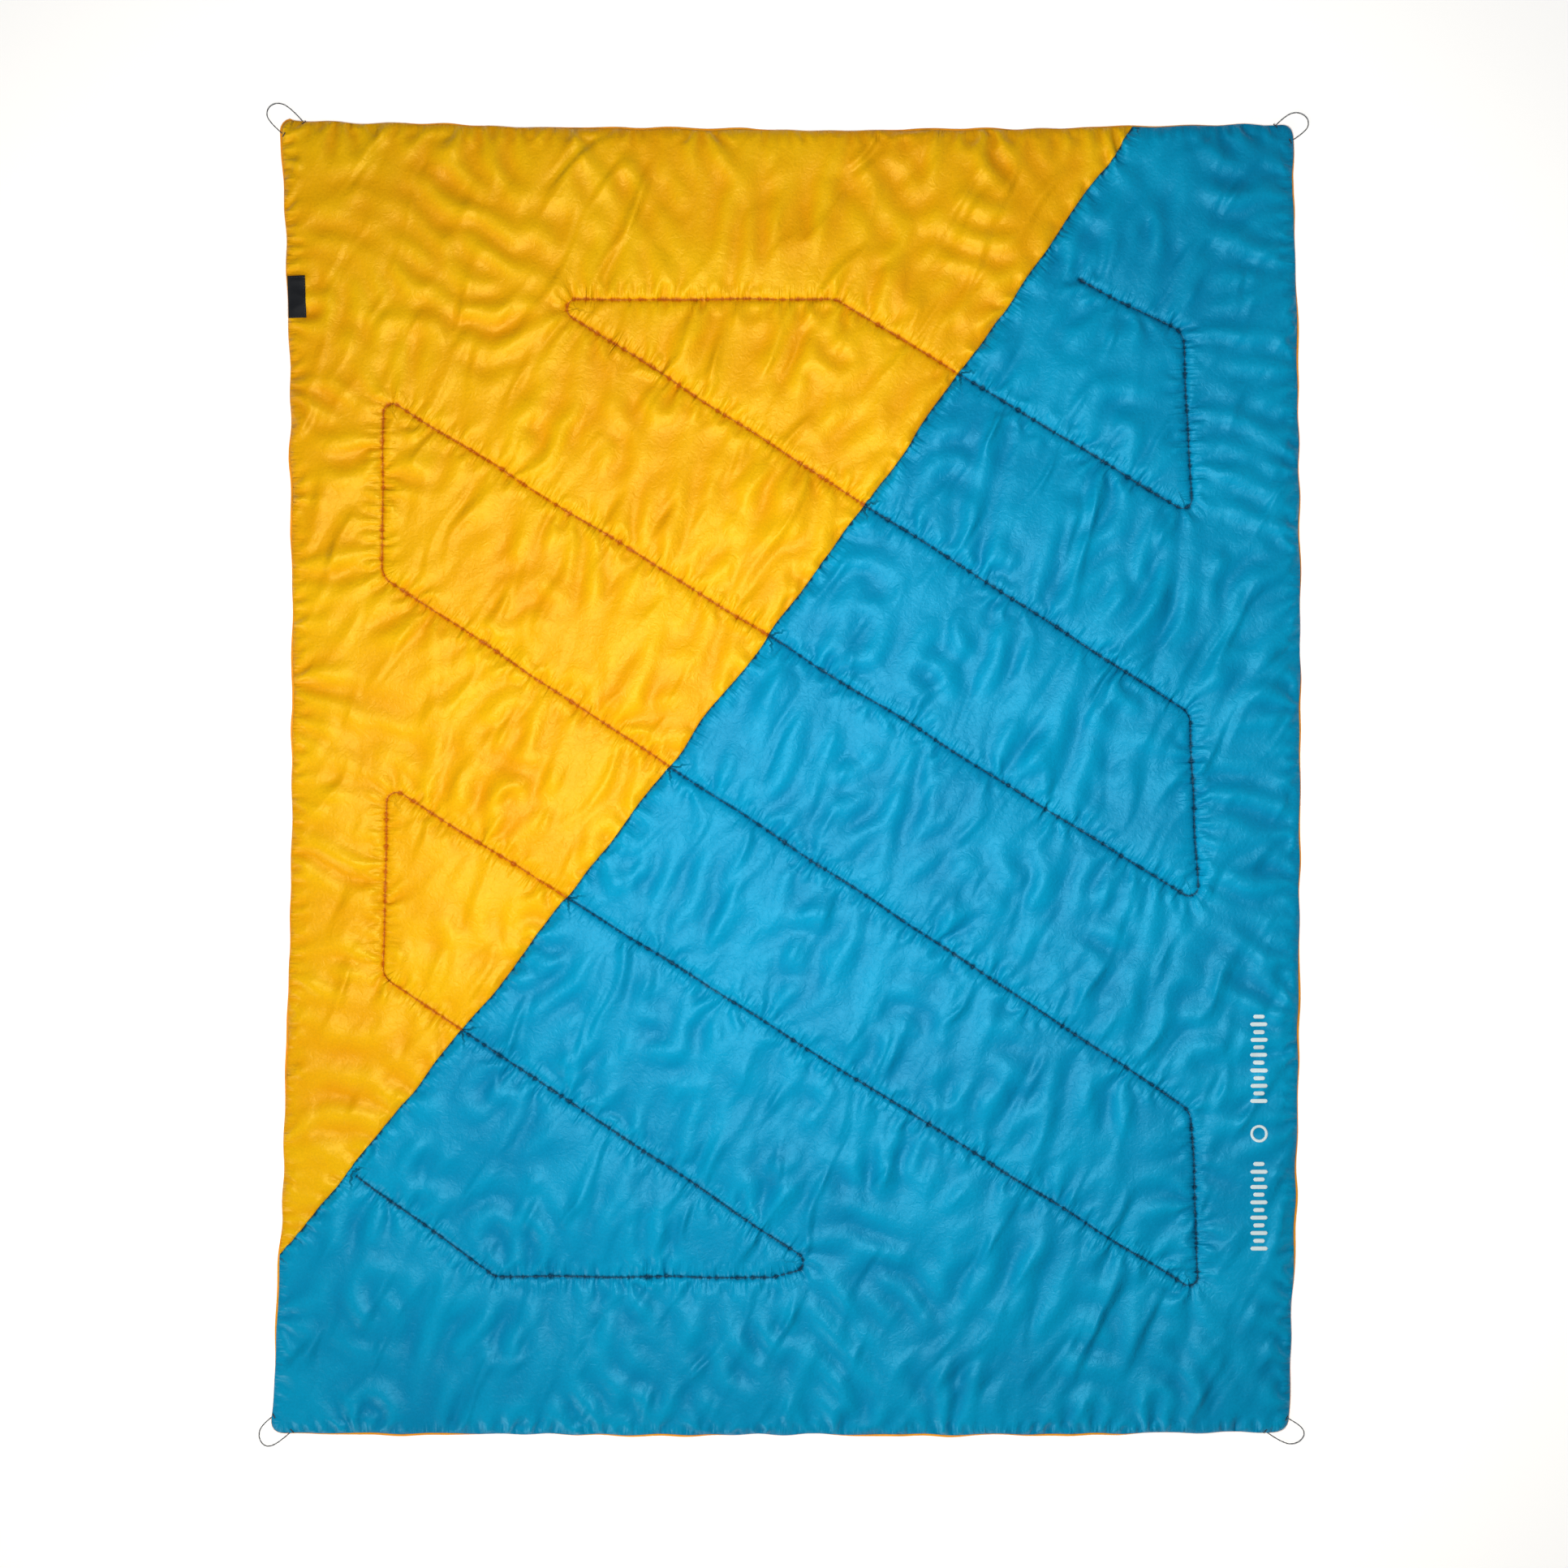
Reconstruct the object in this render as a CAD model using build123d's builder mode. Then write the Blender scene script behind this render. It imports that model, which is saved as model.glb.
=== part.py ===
from build123d import *
from math import atan, atan2, cos, degrees, pi, radians, sin, tan
import os

# Camp blanket lying flat on its back panel. Millimetres, +Z up, +Y towards the top edge.
# The origin is the middle of the blanket's box, on the ground.

# --- Driving dimensions -------------------------------------------------------------------------
FABRIC = 0.5  # modelled thickness of one fabric layer
LOFT = 15.0  # height of the padded top above the ground
RIM_HEIGHT = 3.2  # height of the sewn edge
SLOPE_WIDTH = 30.0  # how far in from the edge the padding reaches its full height
CORNER_RADIUS = 18.0  # rounding of the blanket's corners
TOP_CORNER_RADIUS = 6.0  # rounding of the flat top's corners
ALLOWANCE = 9.0  # seam allowance turned in at the edge
GAP = 0.1  # room between loose layers

# The lying blanket's edges, clockwise from the top: start corner, bowed middle, inward direction.
EDGES = [
    ((-757.0, 987.3), (0.0, 972.0), (0, -1)),
    ((759.5, 982.0), (771.6, -20.0), (-1, 0)),
    ((754.5, -983.0), (0.0, -986.6), (0, 1)),
    ((-772.8, -983.0), (-741.0, 0.0), (1, 0)),
]

# The slanting seam between the two front panels, as an arc that sags to the lower right.
SEAM_HIGH_END = (575.0, 1056.0)
SEAM_MIDDLE = (-107.0, 108.0)
SEAM_LOW_END = (-822.0, -793.0)
SEAM_ALLOWANCE = 6.0  # depth of the turned-down edges under that seam
GOLD_SIDE_CORNER = (-1000.0, 1200.0)  # any point well outside the blanket on the gold side

# The quilting: one continuous line of stitches that zigzags down the blanket.
QUILTING_ROUTE = [
    (440.0, 747.0),
    (596.0, 668.0),
    (611.0, 392.0),
    (75.0, 718.0),
    (-362.0, 718.0),
    (606.0, 97.0),
    (620.0, -190.0),
    (-604.0, 572.0),
    (-607.0, 302.0),
    (608.0, -500.0),
    (620.0, -775.0),
    (-598.0, -12.0),
    (-605.0, -300.0),
    (45.0, -733.0),
    (-20.0, -751.0),
    (-437.0, -749.0),
    (-644.0, -599.0),
]
BEND_RADIUS = 30.0  # rounding of the quilting's open bends
TIP_RADIUS = 14.0  # rounding of its sharp turns
SHARP_TURN = 75.0  # degrees, above which a turn is a sharp one

VALLEY_FLOOR = 4.6  # height of the front fabric along the quilting
VALLEY_HALF_WIDTH = 12.0  # half width of the quilted valley at the padded top
VALLEY_HALF_FLOOR = 1.0  # half width of its flat bottom
RIDGE_TOP = 2.5  # height of the back fabric's upper face along the quilting
RIDGE_HALF_WIDTH = 8.0  # half width of the dimple in the back at the ground
THREAD = 0.8  # modelled diameter of the sewing thread
THREAD_GAP = 0.02  # room between a thread and the fabric it lies on

# Corner loops: braided cord whose two ends are sewn into the edge seam.
CORD = 2.0  # cord diameter
CORD_HEIGHT = FABRIC + CORD / 2 + THREAD_GAP  # height of the cord's centre line
STUB = 5.0  # cord that stands out of the seam before the loop starts to swing
TAIL = 8.0  # cord sewn in behind the edge
PIVOT_GAP = 1.1  # room between the fixed stub and the loop's rounded end, for the whole swing
LOOP_ROUTES = {
    "top_left": [(-726, 986.1), (-745, 1008), (-766, 1015), (-781, 1004), (-778, 985), (-756.3, 967)],
    "top_right": [(737, 981.3), (749, 994), (769, 1001), (786, 990), (783, 970), (760.1, 957)],
    "bottom_right": [(755, -963), (771, -971), (781, -986), (769, -1001), (746, -1001), (722, -983.4)],
    "bottom_left": [(-744, -983.3), (-761, -999), (-781, -1007), (-793, -993), (-789, -972), (-771.6, -960)],
}

# Bar tacks: dense bars of thread over each cord end.
TACK_LENGTH = 7.0
TACK_WIDTH = 1.8
TACK_HEIGHT = 0.5
TACK_INSET = 3.0  # from the edge, along the cord's end

# Woven label, caught in the left edge seam.
LABEL_AT = 0.865  # its middle, as a share of the left edge from the bottom
LABEL_LENGTH = 63.0
LABEL_WIDTH = 27.0
LABEL_THICKNESS = 0.4
LABEL_LIFT = 0.5  # room between the label and the fabric under it
LABEL_INSET = 0.4  # from the edge to the label's outer side
STITCH_LENGTH = 2.6
STITCH_PITCH = 4.0
STITCH_WIDTH = 0.6
STITCH_HEIGHT = 0.3
STITCH_MARGIN = 1.8  # from the label's border to its row of stitches

# Transfer print near the right edge: a ring between two ladders of plain bars.
PRINT_THICKNESS = 0.2
PRINT_X = 709.5
PRINT_BAR_LENGTHS = (26.0, 17.0)
PRINT_BAR_WIDTH = 6.0
PRINT_BAR_PITCH = 11.5
PRINT_PAIRS = 6  # pairs of a long and a short bar in each ladder
PRINT_LADDER_Y = (-643.0, -422.0)
PRINT_RING_Y = -534.0
PRINT_RING_RADIUS = 13.0
PRINT_RING_BAND = 4.0

os.makedirs("parts", exist_ok=True)


# --- Shared outlines and paths ------------------------------------------------------------------
def outline(inset, height, radius):
    """The blanket's outline at one height, moved in from the edge, with rounded corners."""
    inward = [Vector(*direction) * inset for _, _, direction in EDGES]
    corners = [Vector(*EDGES[i][0]) + inward[i] + inward[i - 1] for i in range(len(EDGES))]
    middles = [Vector(*EDGES[i][1]) + inward[i] for i in range(len(EDGES))]
    with BuildSketch(Plane.XY.offset(height)) as level:
        with BuildLine():
            for index, middle in enumerate(middles):
                ThreePointArc(corners[index], middle, corners[(index + 1) % len(corners)])
        make_face()
        fillet(level.vertices(), radius)
    return level.sketch


def corner_radius(inset):
    """Rounding of the border's corners at an inset from the edge."""
    return CORNER_RADIUS + (TOP_CORNER_RADIUS - CORNER_RADIUS) * inset / SLOPE_WIDTH


def slope_height(inset):
    """Height of the front fabric's upper face over the border, at an inset from the edge."""
    return RIM_HEIGHT + (LOFT - RIM_HEIGHT) * inset / SLOPE_WIDTH


def turn_at(points, index):
    """Angle in degrees that a route turns by at one of its inner points."""
    before = Vector(*points[index]) - Vector(*points[index - 1])
    after = Vector(*points[index + 1]) - Vector(*points[index])
    return before.get_angle(after)


def quilting_path(height):
    """The quilting's centre line at one height."""
    turns = [turn_at(QUILTING_ROUTE, index) for index in range(1, len(QUILTING_ROUTE) - 1)]
    radii = [TIP_RADIUS if turn > SHARP_TURN else BEND_RADIUS for turn in turns]
    with BuildLine(Plane.XY.offset(height)) as path:
        FilletPolyline(*QUILTING_ROUTE, radius=radii)
    return path.wire()


def section_plane(path):
    """The plane across a level path's start, with its Y axis upwards."""
    return Plane(origin=path @ 0, x_dir=Vector(0, 0, 1).cross(path % 0), z_dir=path % 0)


def channel(low, high, half_low, half_high):
    """A straight-sided channel along the quilting, between two heights."""
    path = quilting_path(low)
    with BuildPart() as run:
        with BuildSketch(section_plane(path)):
            with BuildLine():
                Polyline(
                    (-half_low, 0),
                    (half_low, 0),
                    (half_high, high - low),
                    (-half_high, high - low),
                    close=True,
                )
            make_face()
        sweep(path=path)
    return run.part


def valley(drop):
    """The quilted valley's room, lowered by drop, up to above the padded top."""
    spread = (VALLEY_HALF_WIDTH - VALLEY_HALF_FLOOR) / (LOFT - VALLEY_FLOOR)
    above = LOFT + 1.0
    half_above = VALLEY_HALF_FLOOR + spread * (above - VALLEY_FLOOR + drop)
    return channel(VALLEY_FLOOR - drop, above, VALLEY_HALF_FLOOR, half_above)


def ridge(lift):
    """The raised strip of the back along the quilting, lifted by lift, from below the ground."""
    spread = (RIDGE_HALF_WIDTH - VALLEY_HALF_FLOOR) / RIDGE_TOP
    below = -1.0
    half_below = VALLEY_HALF_FLOOR + spread * (RIDGE_TOP + lift - below)
    return channel(below, RIDGE_TOP + lift, half_below, VALLEY_HALF_FLOOR)


def border_body(inset, drop, base):
    """Solid under the front fabric without its quilting: edge wall, sloping border and flat top."""
    edge_top = slope_height(inset) - drop
    with BuildPart() as body:
        extrude(outline(inset, base, corner_radius(inset)), amount=edge_top - base)
        loft(
            [
                outline(inset, edge_top, corner_radius(inset)),
                outline(SLOPE_WIDTH, LOFT - drop, TOP_CORNER_RADIUS),
            ],
            ruled=True,
        )
    return body.part


def padded_body(inset, drop, base):
    """Solid under the front fabric, with the quilted valley cut into it."""
    with BuildPart() as body:
        add(border_body(inset, drop, base))
        add(valley(drop), mode=Mode.SUBTRACT)
    return body.part


seam_run = Vector(*SEAM_HIGH_END) - Vector(*SEAM_LOW_END)
seam_side = Vector(seam_run.Y, -seam_run.X).normalized()  # points to the teal side


def seam_points(shift):
    """The slanting seam's low end, middle and high end, moved towards the teal side by shift."""
    return [Vector(*point) + seam_side * shift for point in (SEAM_LOW_END, SEAM_MIDDLE, SEAM_HIGH_END)]


def gold_side(low, high, shift):
    """Everything on the gold side of the slanting seam, between two heights."""
    with BuildPart() as region:
        with BuildSketch(Plane.XY.offset(low)):
            with BuildLine():
                seam = ThreePointArc(*seam_points(shift))
                Polyline(seam @ 1, GOLD_SIDE_CORNER, seam @ 0)
            make_face()
        extrude(amount=high - low)
    return region.part


def seam_band(low, high, from_shift, to_shift):
    """An upright strip along the slanting seam, between two shifts of it."""
    with BuildPart() as strip:
        add(gold_side(low, high, to_shift))
        add(gold_side(low, high, from_shift), mode=Mode.SUBTRACT)
    return strip.part


def laid_on_border(plan, lift, thickness):
    """A thin piece of the given plan shape that lies on the front fabric, lifted clear of it."""
    with BuildPart() as piece:
        extrude(plan, amount=2 * LOFT)
        add(border_body(0, -lift - thickness, 0), mode=Mode.INTERSECT)
        add(border_body(0, -lift, -1.0), mode=Mode.SUBTRACT)
    return piece.part


def write(piece, name):
    """Labels a finished piece and writes it as its own file."""
    piece.part.label = name
    export_step(piece.part, f"parts/{name}.step")


# --- Corner loops and their sewn-in tails --------------------------------------------------------
def loop_points(corner):
    """A loop's route in space, from one exit of the edge seam to the other."""
    return [Vector(x, y, CORD_HEIGHT) for x, y in LOOP_ROUTES[corner]]


def loop_radii(points):
    """The largest tangent arc at each inner point of a loop's route."""
    radii = []
    for index in range(1, len(points) - 1):
        before = points[index] - points[index - 1]
        after = points[index + 1] - points[index]
        shorter = min(before.length, after.length)
        radii.append(0.45 * shorter / tan(radians(before.get_angle(after) / 2)))
    return radii


def exits_of(corner):
    """Where each end of a loop leaves the edge seam, and in which direction."""
    points = loop_points(corner)
    first = (points[0], (points[1] - points[0]).normalized())
    last = (points[-1], (points[-2] - points[-1]).normalized())
    return [first, last]


tails = {}
notches = {}
notch_width = CORD + 2 * THREAD_GAP
notch_top = CORD_HEIGHT + CORD / 2 + THREAD_GAP
for corner in LOOP_ROUTES:
    points = loop_points(corner)
    exits = exits_of(corner)
    radii = loop_radii(points)
    swing = [point + outward * STUB for point, outward in exits]
    with BuildPart() as loop:
        with BuildLine() as route:
            FilletPolyline(swing[0], *points[1:-1], swing[1], radius=radii)
        with BuildSketch(Plane(origin=swing[0], z_dir=exits[0][1])):
            Circle(CORD / 2)
        sweep(path=route.wire())
        with Locations(*swing):
            Sphere(CORD / 2)
    length = route.wire().length
    print(corner, "loop length", round(length, 1), "radii", [round(r, 1) for r in radii])
    section = pi * CORD**2 / 4
    print(corner, "section x length", round(section * length), "volume", round(loop.part.volume))
    print(corner, "pivot", [tuple(round(v, 3) for v in end) for end in swing])
    write(loop, f"corner_loop_{corner}")

    with BuildPart() as tail:
        for point, outward in exits:
            stub_end = point + outward * (STUB - CORD / 2 - PIVOT_GAP)
            with BuildSketch(Plane(origin=stub_end, z_dir=-outward)):
                Circle(CORD / 2)
            extrude(amount=TAIL + STUB - CORD / 2 - PIVOT_GAP)
    tails[corner] = tail.part

    # The front fabric rides over each cord end, so its edge has a notch there.
    with BuildPart() as notch:
        with BuildSketch():
            for point, outward in exits:
                with Locations(Location((point.X, point.Y), degrees(atan2(outward.Y, outward.X)))):
                    Rectangle(2 * (TAIL + STUB), notch_width)
        extrude(amount=notch_top)
    notches[corner] = notch.part

# --- Back panel ----------------------------------------------------------------------------------
with BuildPart() as back_panel:
    extrude(outline(0, 0, CORNER_RADIUS), amount=FABRIC)
    add(ridge(0))
    add(ridge(-FABRIC), mode=Mode.SUBTRACT)
    split(bisect_by=Plane.XY, keep=Keep.TOP)
write(back_panel, "back_panel")

# --- Front panels: one shell with its turned-in edge, divided along the slanting seam -------------
inner_body = padded_body(FABRIC, FABRIC, 0)
with BuildPart() as front_shell:
    add(padded_body(0, 0, FABRIC))
    add(inner_body, mode=Mode.SUBTRACT)
    with BuildSketch(Plane.XY.offset(FABRIC)):
        add(outline(FABRIC / 2, 0, corner_radius(FABRIC / 2)))
        add(outline(ALLOWANCE, 0, corner_radius(ALLOWANCE)), mode=Mode.SUBTRACT)
    extrude(amount=FABRIC)
    for notch in notches.values():
        add(notch, mode=Mode.SUBTRACT)

turned_edge_low = LOFT - FABRIC - SEAM_ALLOWANCE
for name, from_shift, to_shift, keep in (
    ("gold_front_panel", -FABRIC, 0, Mode.INTERSECT),
    ("teal_front_panel", 0, FABRIC, Mode.SUBTRACT),
):
    with BuildPart() as turned_edge:
        add(seam_band(turned_edge_low, LOFT - FABRIC, from_shift, to_shift))
        add(inner_body, mode=Mode.INTERSECT)
    with BuildPart() as panel:
        add(front_shell.part)
        add(gold_side(-1, LOFT + 1, 0), mode=keep)
        add(turned_edge.part)
    write(panel, name)

# --- Batting: the fill between the panels ---------------------------------------------------------
with BuildPart() as fill_batting:
    add(padded_body(ALLOWANCE + GAP, FABRIC + GAP, FABRIC + GAP))
    add(ridge(GAP), mode=Mode.SUBTRACT)
    add(
        seam_band(turned_edge_low - GAP, LOFT, -FABRIC - GAP, FABRIC + THREAD + 2 * GAP),
        mode=Mode.SUBTRACT,
    )
write(fill_batting, "fill_batting")

# --- Threads --------------------------------------------------------------------------------------
for name, height in (
    ("quilting_needle_thread", VALLEY_FLOOR + THREAD / 2 + THREAD_GAP),
    ("quilting_bobbin_thread", RIDGE_TOP - FABRIC - THREAD / 2 - THREAD_GAP),
):
    path = quilting_path(height)
    with BuildPart() as thread:
        with BuildSketch(section_plane(path)):
            Circle(THREAD / 2)
        sweep(path=path)
    print(name, "length", round(path.length))
    write(thread, name)

# The panel seam's thread lies against the teal panel's turned-down edge. It shows as one run under
# each stretch of padded top, because the quilted valleys press the seam flat between them.
rise = Vector(0, 0, (turned_edge_low + LOFT - FABRIC) / 2)
with BuildLine() as seam_line:
    ThreePointArc(*[point + rise for point in seam_points(FABRIC + THREAD / 2 + THREAD_GAP)])
seam_edge = seam_line.edge()
crossed = quilting_path(rise.Z).edges() + outline(SLOPE_WIDTH, rise.Z, TOP_CORNER_RADIUS).edges()
meetings = [seam_edge.intersect(other) for other in crossed]
crossings = sorted(seam_edge.param_at_point(point) for met in meetings if met for point in met)
clear_of_valley = VALLEY_HALF_WIDTH + 3.0
margin = clear_of_valley / seam_edge.length
with BuildPart() as panel_seam_thread:
    for start, end in zip(crossings, crossings[1:]):
        run = seam_edge.trim(start + margin, end - margin)
        with BuildSketch(section_plane(run)):
            Circle(THREAD / 2)
        sweep(path=run)
write(panel_seam_thread, "panel_seam_thread")

# The perimeter seam's thread lies on the turned-in edge, halfway across it.
perimeter_thread_height = 2 * FABRIC + THREAD / 2 + THREAD_GAP
perimeter = outline(ALLOWANCE / 2, perimeter_thread_height, corner_radius(ALLOWANCE / 2)).wire()
with BuildPart() as perimeter_seam_thread:
    with BuildSketch(section_plane(perimeter)):
        Circle(THREAD / 2)
    sweep(path=perimeter)
write(perimeter_seam_thread, "perimeter_seam_thread")

# --- Sewn-in cord ends, grooved where the perimeter seam passes, and the bar tacks over them -------
groove_width = THREAD + 4 * GAP
groove_length = 10.0
half_width, half_length = -EDGES[3][0][0], EDGES[0][0][1]
for corner, tail in tails.items():
    with BuildPart() as loop_tails:
        add(tail)
        for point, outward in exits_of(corner):
            if half_width - abs(point.X) < half_length - abs(point.Y):  # it leaves a long side
                depth, across, along = abs(outward.X), groove_width, groove_length
            else:
                depth, across, along = abs(outward.Y), groove_length, groove_width
            crossing = point - outward * (ALLOWANCE / 2 / depth)
            with Locations((crossing.X, crossing.Y, perimeter_thread_height)):
                Box(across, along, THREAD + 2 * GAP, mode=Mode.SUBTRACT)
    write(loop_tails, f"loop_tails_{corner}")

    with BuildSketch() as tack_plan:
        for point, outward in exits_of(corner):
            middle = point - outward * TACK_INSET
            across = degrees(atan2(outward.Y, outward.X)) + 90
            with Locations(Location((middle.X, middle.Y), across)):
                SlotOverall(TACK_LENGTH, TACK_WIDTH)
    with BuildPart() as loop_bar_tacks:
        add(laid_on_border(tack_plan.sketch, GAP, TACK_HEIGHT))
    write(loop_bar_tacks, f"loop_bar_tacks_{corner}")

# --- Side label -----------------------------------------------------------------------------------
with BuildLine() as left_side:
    ThreePointArc(EDGES[3][0], EDGES[3][1], EDGES[0][0])
along = left_side.line % LABEL_AT
slope = atan((LOFT - RIM_HEIGHT) / SLOPE_WIDTH)
up_slope = Vector(along.Y * cos(slope), -along.X * cos(slope), sin(slope))
label_foot = left_side.line @ LABEL_AT + Vector(0, 0, RIM_HEIGHT)
label_middle = label_foot + up_slope * (LABEL_INSET + LABEL_WIDTH / 2)
label_base = Plane(origin=label_middle, x_dir=up_slope, z_dir=up_slope.cross(along)).offset(LABEL_LIFT)

with BuildPart() as side_label:
    with BuildSketch(label_base):
        Rectangle(LABEL_WIDTH, LABEL_LENGTH)
    extrude(amount=LABEL_THICKNESS)
write(side_label, "side_label")

row_x = LABEL_WIDTH / 2 - STITCH_MARGIN
row_y = LABEL_LENGTH / 2 - STITCH_MARGIN
long_row = int((LABEL_LENGTH - 2 * STITCH_MARGIN) / STITCH_PITCH)
short_row = int((LABEL_WIDTH - 2 * STITCH_MARGIN) / STITCH_PITCH)
with BuildPart() as label_stitching:
    with BuildSketch(label_base.offset(LABEL_THICKNESS)):
        with Locations((row_x, 0)):
            with GridLocations(0, STITCH_PITCH, 1, long_row):
                SlotOverall(STITCH_LENGTH, STITCH_WIDTH, rotation=90)
        with Locations((0, row_y), (0, -row_y)):
            with GridLocations(STITCH_PITCH, 0, short_row, 1):
                SlotOverall(STITCH_LENGTH, STITCH_WIDTH)
    extrude(amount=STITCH_HEIGHT)
write(label_stitching, "label_stitching")

# --- Transfer print -------------------------------------------------------------------------------
with BuildPart() as transfer_print:
    with BuildSketch(Plane.XY.offset(LOFT)):
        for ladder_y in PRINT_LADDER_Y:
            for bar_length, step in zip(PRINT_BAR_LENGTHS, (-0.5, 0.5)):
                with Locations((PRINT_X, ladder_y + step * PRINT_BAR_PITCH)):
                    with GridLocations(0, 2 * PRINT_BAR_PITCH, 1, PRINT_PAIRS):
                        SlotOverall(bar_length, PRINT_BAR_WIDTH)
        with Locations((PRINT_X, PRINT_RING_Y)):
            Circle(PRINT_RING_RADIUS)
            Circle(PRINT_RING_RADIUS - PRINT_RING_BAND, mode=Mode.SUBTRACT)
    extrude(amount=PRINT_THICKNESS)
write(transfer_print, "transfer_print")
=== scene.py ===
"""Camp blanket: a quilted, two-colour blanket with a cord loop at each corner, lying flat."""
import logging
import math
from dataclasses import dataclass, field
from enum import Enum
from typing import Any, Callable, Sequence

import bpy
import numpy as np
from bpy.types import Material, Node, NodeSocket, NodeTree, Object
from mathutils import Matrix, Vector
from mathutils.bvhtree import BVHTree
from mathutils.geometry import delaunay_2d_cdt
from mathutils.kdtree import KDTree


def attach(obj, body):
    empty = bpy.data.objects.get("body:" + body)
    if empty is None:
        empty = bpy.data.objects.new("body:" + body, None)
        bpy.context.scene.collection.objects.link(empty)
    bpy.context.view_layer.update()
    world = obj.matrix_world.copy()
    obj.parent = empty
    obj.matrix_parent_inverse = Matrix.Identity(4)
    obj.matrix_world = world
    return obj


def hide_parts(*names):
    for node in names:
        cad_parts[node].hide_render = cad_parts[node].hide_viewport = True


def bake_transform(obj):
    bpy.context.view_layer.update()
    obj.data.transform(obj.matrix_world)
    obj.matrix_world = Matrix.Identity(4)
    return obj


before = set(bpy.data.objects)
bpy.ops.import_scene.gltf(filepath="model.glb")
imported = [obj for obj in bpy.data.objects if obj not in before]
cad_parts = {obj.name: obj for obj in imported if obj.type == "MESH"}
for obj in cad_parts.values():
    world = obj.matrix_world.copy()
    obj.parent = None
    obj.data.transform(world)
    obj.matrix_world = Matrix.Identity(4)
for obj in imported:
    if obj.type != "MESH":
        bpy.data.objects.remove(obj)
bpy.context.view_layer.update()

MM = 0.001  # metres in a millimetre; plans are worked out in millimetres and built in metres
UP = np.array([0.0, 0.0, 1.0])
HEM_FLOOR = 0.8  # lowest height, in mm, of a turned edge inside the blanket
GROUND = np.array([900.0, 1100.0])  # half the width and length, in mm, of ground that holds the blanket
SKY, DOWN = 60.0, Vector((0, 0, -1))  # a height in mm above every piece, and the way down from it
log = logging.getLogger("camp_blanket")


# --- Small helpers ------------------------------------------------------------------------------
def linear(code: str) -> tuple[float, float, float, float]:
    """Turns an sRGB hex colour into the linear colour that a shader takes.

    Args:
        code: six hex digits after a hash.

    Returns:
        Linear red, green and blue, with an alpha of 1.
    """
    channels = [int(code[i : i + 2], 16) / 255 for i in (1, 3, 5)]
    red, green, blue = (c / 12.92 if c <= 0.04045 else ((c + 0.055) / 1.055) ** 2.4 for c in channels)
    return red, green, blue, 1.0


def add_node(
    tree: NodeTree, kind: str, settings: dict[Any, Any] | None = None, links: dict[Any, Any] | None = None
) -> Node:
    """Adds a node with its settings and links.

    Args:
        tree: the material's node tree.
        kind: the shader node's type name, without its first word.
        settings: values of the node's properties, or of its inputs by name or number.
        links: output sockets that feed the node's inputs, by input name or number.

    Returns:
        The new node.
    """
    node = tree.nodes.new(f"ShaderNode{kind}")
    for key, value in (settings or {}).items():
        if isinstance(key, str) and hasattr(node, key):
            setattr(node, key, value)
        else:
            node.inputs[key].default_value = value
    for key, source in (links or {}).items():
        tree.links.new(source, node.inputs[key])
    return node


def cells(size_mm: float) -> float:
    """Scale of a noise texture in metres whose features are size_mm across."""
    return 1000.0 / size_mm


def bands(period_mm: float) -> float:
    """Scale of a wave texture in metres whose bands repeat every period_mm."""
    return 2 * math.pi / (20 * period_mm * MM)


def smooth_noise(place: np.ndarray, wavelength: float, seed: int, waves: int = 28) -> np.ndarray:
    """A smooth random field with a variance of about one, made of plane waves.

    Args:
        place: points, two numbers each.
        wavelength: usual distance between the field's crests.
        seed: seed of the random waves.
        waves: how many waves are added up.

    Returns:
        The field at each point.
    """
    rng = np.random.default_rng(seed)
    angle = rng.uniform(0, 2 * math.pi, waves)
    size = 2 * math.pi / (wavelength * rng.uniform(0.7, 1.6, waves))
    phase = rng.uniform(0, 2 * math.pi, waves)
    ways = np.stack([np.cos(angle) * size, np.sin(angle) * size]).astype(np.float32)
    total = np.zeros(len(place), np.float32)
    for way, shift in zip(ways.T, phase):
        total += np.cos(place[:, 0] * way[0] + place[:, 1] * way[1] + np.float32(shift))
    return total * math.sqrt(2 / waves)


def deselect() -> None:
    """Leaves nothing selected and no object in edit mode."""
    if bpy.context.object and bpy.context.object.mode != "OBJECT":
        bpy.ops.object.mode_set(mode="OBJECT")
    bpy.ops.object.select_all(action="DESELECT")


def mesh_piece(name: str, points: np.ndarray, faces: Sequence[Sequence[int]] | np.ndarray) -> Object:
    """Makes a smooth-shaded mesh object at the origin.

    Args:
        name: the piece's name.
        points: its corners in metres.
        faces: corner numbers of each face, triangles as an array or faces of any size as lists.

    Returns:
        The new object, linked to the scene.
    """
    mesh = bpy.data.meshes.new(name)
    if isinstance(faces, np.ndarray):
        count, size = faces.shape
        mesh.vertices.add(len(points))
        mesh.vertices.foreach_set("co", np.asarray(points, np.float32).ravel())
        mesh.loops.add(count * size)
        mesh.loops.foreach_set("vertex_index", faces.astype(np.int32).ravel())
        mesh.polygons.add(count)
        mesh.polygons.foreach_set("loop_start", np.arange(count, dtype=np.int32) * size)
    else:
        mesh.from_pydata([tuple(p) for p in points], [], [tuple(f) for f in faces])
    mesh.update(calc_edges=True)
    mesh.validate()
    mesh.shade_smooth()
    piece = bpy.data.objects.new(name, mesh)
    bpy.context.scene.collection.objects.link(piece)
    return piece


def give_attribute(piece: Object, name: str, kind: str, values: np.ndarray) -> None:
    """Stores a value at each corner of a piece's mesh for its material to read."""
    layer = piece.data.attributes.new(name, kind, "POINT")
    layer.data.foreach_set("vector" if kind == "FLOAT_VECTOR" else "value", values.astype(np.float32).ravel())


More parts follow.
